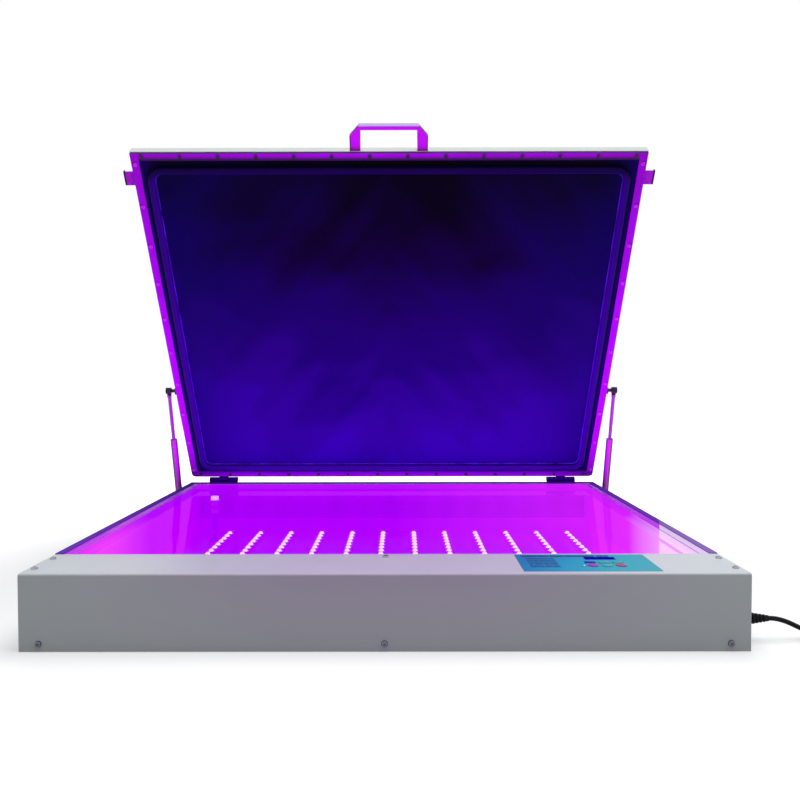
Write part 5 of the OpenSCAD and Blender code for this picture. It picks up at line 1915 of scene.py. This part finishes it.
@dataclass
class LampBed:
    """The reflector tray with its rows of lamps."""

    rows: int = 12
    pitch: float = 67.7
    shift: float = 16.5
    near: float = -283.5
    far: float = 266.5
    board_width: float = 18.0
    board_low: float = 23.0
    board_high: float = 26.0
    lamps: int = 17
    first_lamp: float = -256.5
    step: float = 31.0
    lens_radius: float = 5.0
    lens_height: float = 4.6

    def column(self, row: int) -> float:
        """The sideways place of a row."""
        return self.shift + (row - (self.rows - 1) / 2) * self.pitch

    def boards(self) -> Form:
        """The long circuit boards.

        Returns:
            The boards' shape.
        """
        form = Form()
        half = self.board_width / 2
        form.block((-half, self.near, self.board_low), (half, self.far, self.board_high))
        form.bevelled(0.5, 1)
        return form.with_copies([Matrix.Translation((self.column(i), 0, 0)) for i in range(self.rows)])

    def lenses(self) -> Form:
        """The domed lenses.

        Returns:
            The lenses' shape.
        """
        form = Form()
        r, h = self.lens_radius, self.lens_height
        form.turned([(r, -0.2), (r, 0.2 * h), (0.8 * r, 0.65 * h), (0.42 * r, 0.93 * h), (0, h)], 10)
        places = [
            at(self.column(i), self.first_lamp + k * self.step, self.board_high)
            for i in range(self.rows) for k in range(self.lamps)
        ]
        return form.with_copies(places)

    def build(self, shop: Workshop) -> None:
        """Makes the lamps and dresses the tray.

        Args:
            shop: The workshop that fits the pieces.
        """
        shop.dress(Finishes.TRAY, "reflector_tray")
        shop.fit(self.boards(), "lamp_boards", Finishes.BOARD, "led_strips")
        shop.fit(self.lenses(), "lamp_lenses", Finishes.LENS, "led_strips", smooth=60)


@dataclass
class VacuumSet:
    """The suction port, its hose and the pump."""

    def build(self, shop: Workshop) -> None:
        """Dresses the vacuum set.

        Args:
            shop: The workshop that fits the pieces.
        """
        shop.edged("suction_port", Finishes.PORT, 0.5, 2)
        shop.edged("port_nut", Finishes.HOSE, 0.5)
        shop.dress(Finishes.HOSE, "vacuum_hose")
        shop.edged("pump_motor", Finishes.MOTOR, 1.5, 2)
        shop.edged("pump_head", Finishes.CAST, 2.0, 3)
        shop.dress(Finishes.ZINC, "pump_base")


@dataclass
class Electrics:
    """The power supplies, boards, loom, fan and power switch."""

    def build(self, shop: Workshop) -> None:
        """Dresses the electrics.

        Args:
            shop: The workshop that fits the pieces.
        """
        shop.edged("left_power_supply", Finishes.ZINC, 0.8)
        shop.edged("right_power_supply", Finishes.ZINC, 0.8)
        shop.dress(Finishes.MASK, "control_board")
        shop.dress(Finishes.LOOM, "wiring_loom")
        shop.edged("fan_frame", Finishes.BLACK, 0.6)
        shop.edged("fan_rotor", Finishes.BLACK, 0.4)
        shop.edged("switch_housing", Finishes.BLACK, 0.7, 2)
        shop.edged("switch_rocker", Finishes.RED_CASE, 0.5, 2)


@dataclass
class ControlPanel:
    """The printed label with its keys, display and indicator."""

    lamp: Point = (281.4, -439.0, 107.4)
    keys: dict[str, Finish] = field(default_factory=lambda: {
        "set_key": Finishes.KEY_BLUE, "minus_key": Finishes.KEY_TEAL, "plus_key": Finishes.KEY_TEAL,
        "vacuum_key": Finishes.KEY_MAGENTA, "start_key": Finishes.KEY_GREEN, "stop_key": Finishes.KEY_RED,
    })

    def build(self, shop: Workshop) -> None:
        """Dresses the panel and adds the indicator's lens.

        Args:
            shop: The workshop that fits the pieces.
        """
        shop.edged("control_label", Finishes.FILM, 0.12, 1)
        shop.edged("display_module", Finishes.WINDOW, 0.3, 2)
        for key, finish in self.keys.items():
            shop.edged(key, finish, 0.6, 3)
        form = Form()
        form.turned([(1.9, -1), (1.9, 0), (1.5, 0.6), (0.8, 1.0), (0, 1.1)], 14, at(*self.lamp))
        shop.fit(form, "indicator_lens", Finishes.INDICATOR, body="cabinet", smooth=60)


# ---------------------------------------------------------------- lid


@dataclass
class Lid:
    """The lid: a tube frame with a clamped rubber blanket, its handle and its keepers."""

    axis: Pair = (490.5, 115.0)
    open_angle: float = 55.3
    half_width: float = 500.0
    front: float = -346.0
    back: float = 484.0
    bar_low: float = 115.6
    blanket_low: float = 118.6
    tube_low: float = 120.6
    inset: float = 1.5
    bar_width: float = 15.0
    bead_in: float = 29.0
    bead_width: float = 13.0
    bead_tip: float = 106.4
    lip_width: float = 1.6
    lip_height: float = 3.2
    bead_radius: float = 29.0
    bead_round: float = 5.0
    bead_sunk: float = 0.4
    end_screws: int = 14
    side_screws: int = 10
    screw_in: float = 24.0
    head_radius: float = 4.0
    head_height: float = 2.4
    cells: tuple[int, int] = (72, 60)
    belly: float = 3.0
    corner_fold: float = 0.9
    corner_folds: float = 9.0
    corner_fade: float = 2.2
    ripples: tuple[tuple[float, float, float, float], ...] = ((0.6, 5.2, 2.1, 0.6), (0.5, 3.1, -5.4, 0.0))

    def opened(self) -> Matrix:
        """The placement that swings the shut lid open.

        Returns:
            The placement.
        """
        pin = Vector((0, *self.axis))
        turn = Matrix.Rotation(-math.radians(self.open_angle), 4, "X")
        return Matrix.Translation(pin) @ turn @ Matrix.Translation(-pin)

    def clamp_screws(self, ends: bool) -> ScrewHeads:
        """The screws along the clamp bars' ends or sides, heads towards the glass.

        Args:
            ends: Whether they are the end bars'.

        Returns:
            The screws.
        """
        near, far = self.front + self.inset + self.bar_width / 2, self.back - self.inset - self.bar_width / 2
        side = self.half_width - self.inset - self.bar_width / 2
        end_pitch = (2 * self.half_width - 2 * self.screw_in) / (self.end_screws - 1)
        side_pitch = (self.back - self.front - 2 * self.screw_in) / (self.side_screws - 1)
        first = self.front + self.screw_in
        spots = [(x, first + i * side_pitch) for i in range(self.side_screws) for x in (-side, side)]
        if ends:
            left = self.screw_in - self.half_width
            spots = [(left + i * end_pitch, y) for i in range(self.end_screws) for y in (near, far)]
        return ScrewHeads(self.head_radius, self.head_height, [at(x, y, self.bar_low, Axis.DOWN) for x, y in spots])

    def blanket_lift(self, x: float, y: float) -> float:
        """How far the blanket stands off its flat place: a slack belly with shallow folds off the corners.

        Args:
            x: The place across the lid.
            y: The place along it.

        Returns:
            The height, which is below nothing where the blanket sags.
        """
        limit_x = self.half_width - self.bead_in - self.bead_width
        mid, limit_y = (self.front + self.back) / 2, (self.back - self.front) / 2 - self.bead_in - self.bead_width
        u, v = x / limit_x, (y - mid) / limit_y
        if abs(u) >= 1 or abs(v) >= 1:
            return 0.0
        hold = (1 - u * u) * (1 - v * v)
        ease = min(1.0, 6 * hold)
        fan = math.sin(self.corner_folds * (abs(u) - 0.55 * v) + 0.8)
        folds = self.corner_fold * fan * math.exp(-self.corner_fade * (1 - abs(u)) ** 2)
        folds += sum(deep * math.sin(a * u + b * v + start) for deep, a, b, start in self.ripples)
        return -(self.belly * hold + ease * folds)

    def blanket(self) -> Form:
        """The blanket as one sheet.

        Returns:
            The sheet's shape.
        """
        form = Form()
        verts = bmesh.ops.create_grid(form.bm, x_segments=self.cells[0], y_segments=self.cells[1], size=0.5)["verts"]
        wide = 2 * (self.half_width - self.inset)
        long = self.back - self.front - 2 * self.inset
        bmesh.ops.scale(form.bm, vec=(wide, long, 1), verts=verts)
        middle = (0, (self.front + self.back) / 2, (self.blanket_low + self.tube_low) / 2)
        bmesh.ops.translate(form.bm, vec=middle, verts=verts)
        for vert in verts:
            vert.co.z += self.blanket_lift(vert.co.x, vert.co.y)
        return form

    def bead(self) -> Form:
        """The raised sealing bead of the blanket.

        Returns:
            The bead's shape.
        """
        form = Form()
        near, side = self.front + self.bead_in, self.half_width - self.bead_in
        tip = form.ring(
            (-side, near), (side, self.back - self.bead_in), self.bead_radius, self.bead_width,
            self.blanket_low + self.bead_sunk, self.bead_tip - self.blanket_low - self.bead_sunk, segments=10,
        )
        edges = [
            e for e in {e for v in tip for e in v.link_edges}
            if all(v in tip for v in e.verts) and abs(e.calc_face_angle(0)) > 1
        ]
        bmesh.ops.bevel(
            form.bm, geom=edges, offset=self.bead_round, offset_type="OFFSET", affect="EDGES", segments=5,
            profile=0.5, material=-1, clamp_overlap=True,
        )
        return form

    def bead_lip(self) -> Form:
        """The thin raised line along the bead's inner foot.

        Returns:
            The line's shape.
        """
        form = Form()
        inside = self.bead_in + self.bead_width
        near, side = self.front + inside, self.half_width - inside
        form.ring(
            (-side, near), (side, self.back - inside), self.bead_radius - self.bead_width, self.lip_width,
            self.blanket_low, -self.lip_height, segments=10,
        )
        return form.bevelled(0.3, 2)

    def build(self, shop: Workshop) -> None:
        """Makes the lid's pieces.

        Args:
            shop: The workshop that fits the pieces.
        """
        opened = self.opened()
        shop.edged("lid_frame", Finishes.TUBE, 1.3, 3)
        sheet = shop.fit(self.blanket().moved(opened), "blanket_sheet", Finishes.BACK, "vacuum_blanket", smooth=80)
        skin = sheet.modifiers.new("thickness", "SOLIDIFY")
        skin.thickness = (self.tube_low - self.blanket_low) * MM
        skin.offset = 0
        skin.material_offset = skin.material_offset_rim = 1
        sheet.data.materials.append(Finishes.BLANKET.material())
        bead = shop.fit(self.bead().moved(opened), "blanket_bead", Finishes.BEAD, "vacuum_blanket", smooth=50)
        lip = shop.fit(self.bead_lip().moved(opened), "bead_lip", Finishes.LIP, "vacuum_blanket", smooth=50)
        shop.edged("clamp_bars", Finishes.CLAMP, 0.5, 2)
        for ends, name, finish in ((True, "end", Finishes.SCREW_DARK), (False, "side", Finishes.SCREW_PINK)):
            heads = self.clamp_screws(ends).form().moved(opened)
            shop.fit(heads, f"{name}_screw_heads", finish, "clamp_screws")
        shop.edged("lid_handle", Finishes.HANDLE, 1.2, 3)
        shop.dress(Finishes.SCREW, "handle_screws")
        shop.edged("keepers", Finishes.KEEPER, 0.5)
        shop.edged("lid_hardware_screws", Finishes.SCREW, 0.4)


@dataclass
class Hardware:
    """The hinges, gas springs and draw latches."""

    def build(self, shop: Workshop) -> None:
        """Dresses the moving hardware.

        Args:
            shop: The workshop that fits the pieces.
        """
        shop.edged("hinge_base_leaves", Finishes.HINGE_BASE, 0.4)
        shop.edged("hinge_lid_leaves", Finishes.HINGE_LID, 0.4)
        shop.edged("hinge_pins", Finishes.BRIGHT, 0.5)
        shop.edged("base_hardware_screws", Finishes.SCREW, 0.4)
        for node in ("base_gas_studs", "lid_gas_studs"):
            shop.edged(node, Finishes.STUD, 0.5)
        for side in ("left", "right"):
            shop.edged(f"{side}_gas_tube", Finishes.SPRING, 1.0, 3)
            shop.edged(f"{side}_gas_rod", Finishes.CHROME, 0.6, 2)
            shop.edged(f"{side}_latch_lever", Finishes.BRIGHT, 0.5)
            shop.edged(f"{side}_latch_bail", Finishes.BRIGHT, 0.3)
        shop.edged("latch_plates", Finishes.BRIGHT, 0.5)


def write_sizes() -> None:
    """Defines a helper that turns a box into plain lists of numbers, and writes nothing.
    """
    def plain(box: object) -> list:
        """A box as plain lists of numbers."""
        return [[float(c) for c in corner] for corner in box]


def main() -> None:
    """Builds the camera and the cord first, then every sub-assembly, and reports each piece."""
    logging.basicConfig(level=logging.INFO, format="%(name)s: %(message)s")
    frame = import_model()
    studio = Studio()
    studio.camera()
    shop = Workshop(frame)
    MainsCord().build(shop)
    for part in (Cabinet(), LampBed(), VacuumSet(), Electrics(), ControlPanel(), Lid(), Hardware()):
        part.build(shop)
        LOG.info("%s: done", type(part).__name__)
    studio.build()
    write_sizes()


if __name__ == "__main__":
    main()
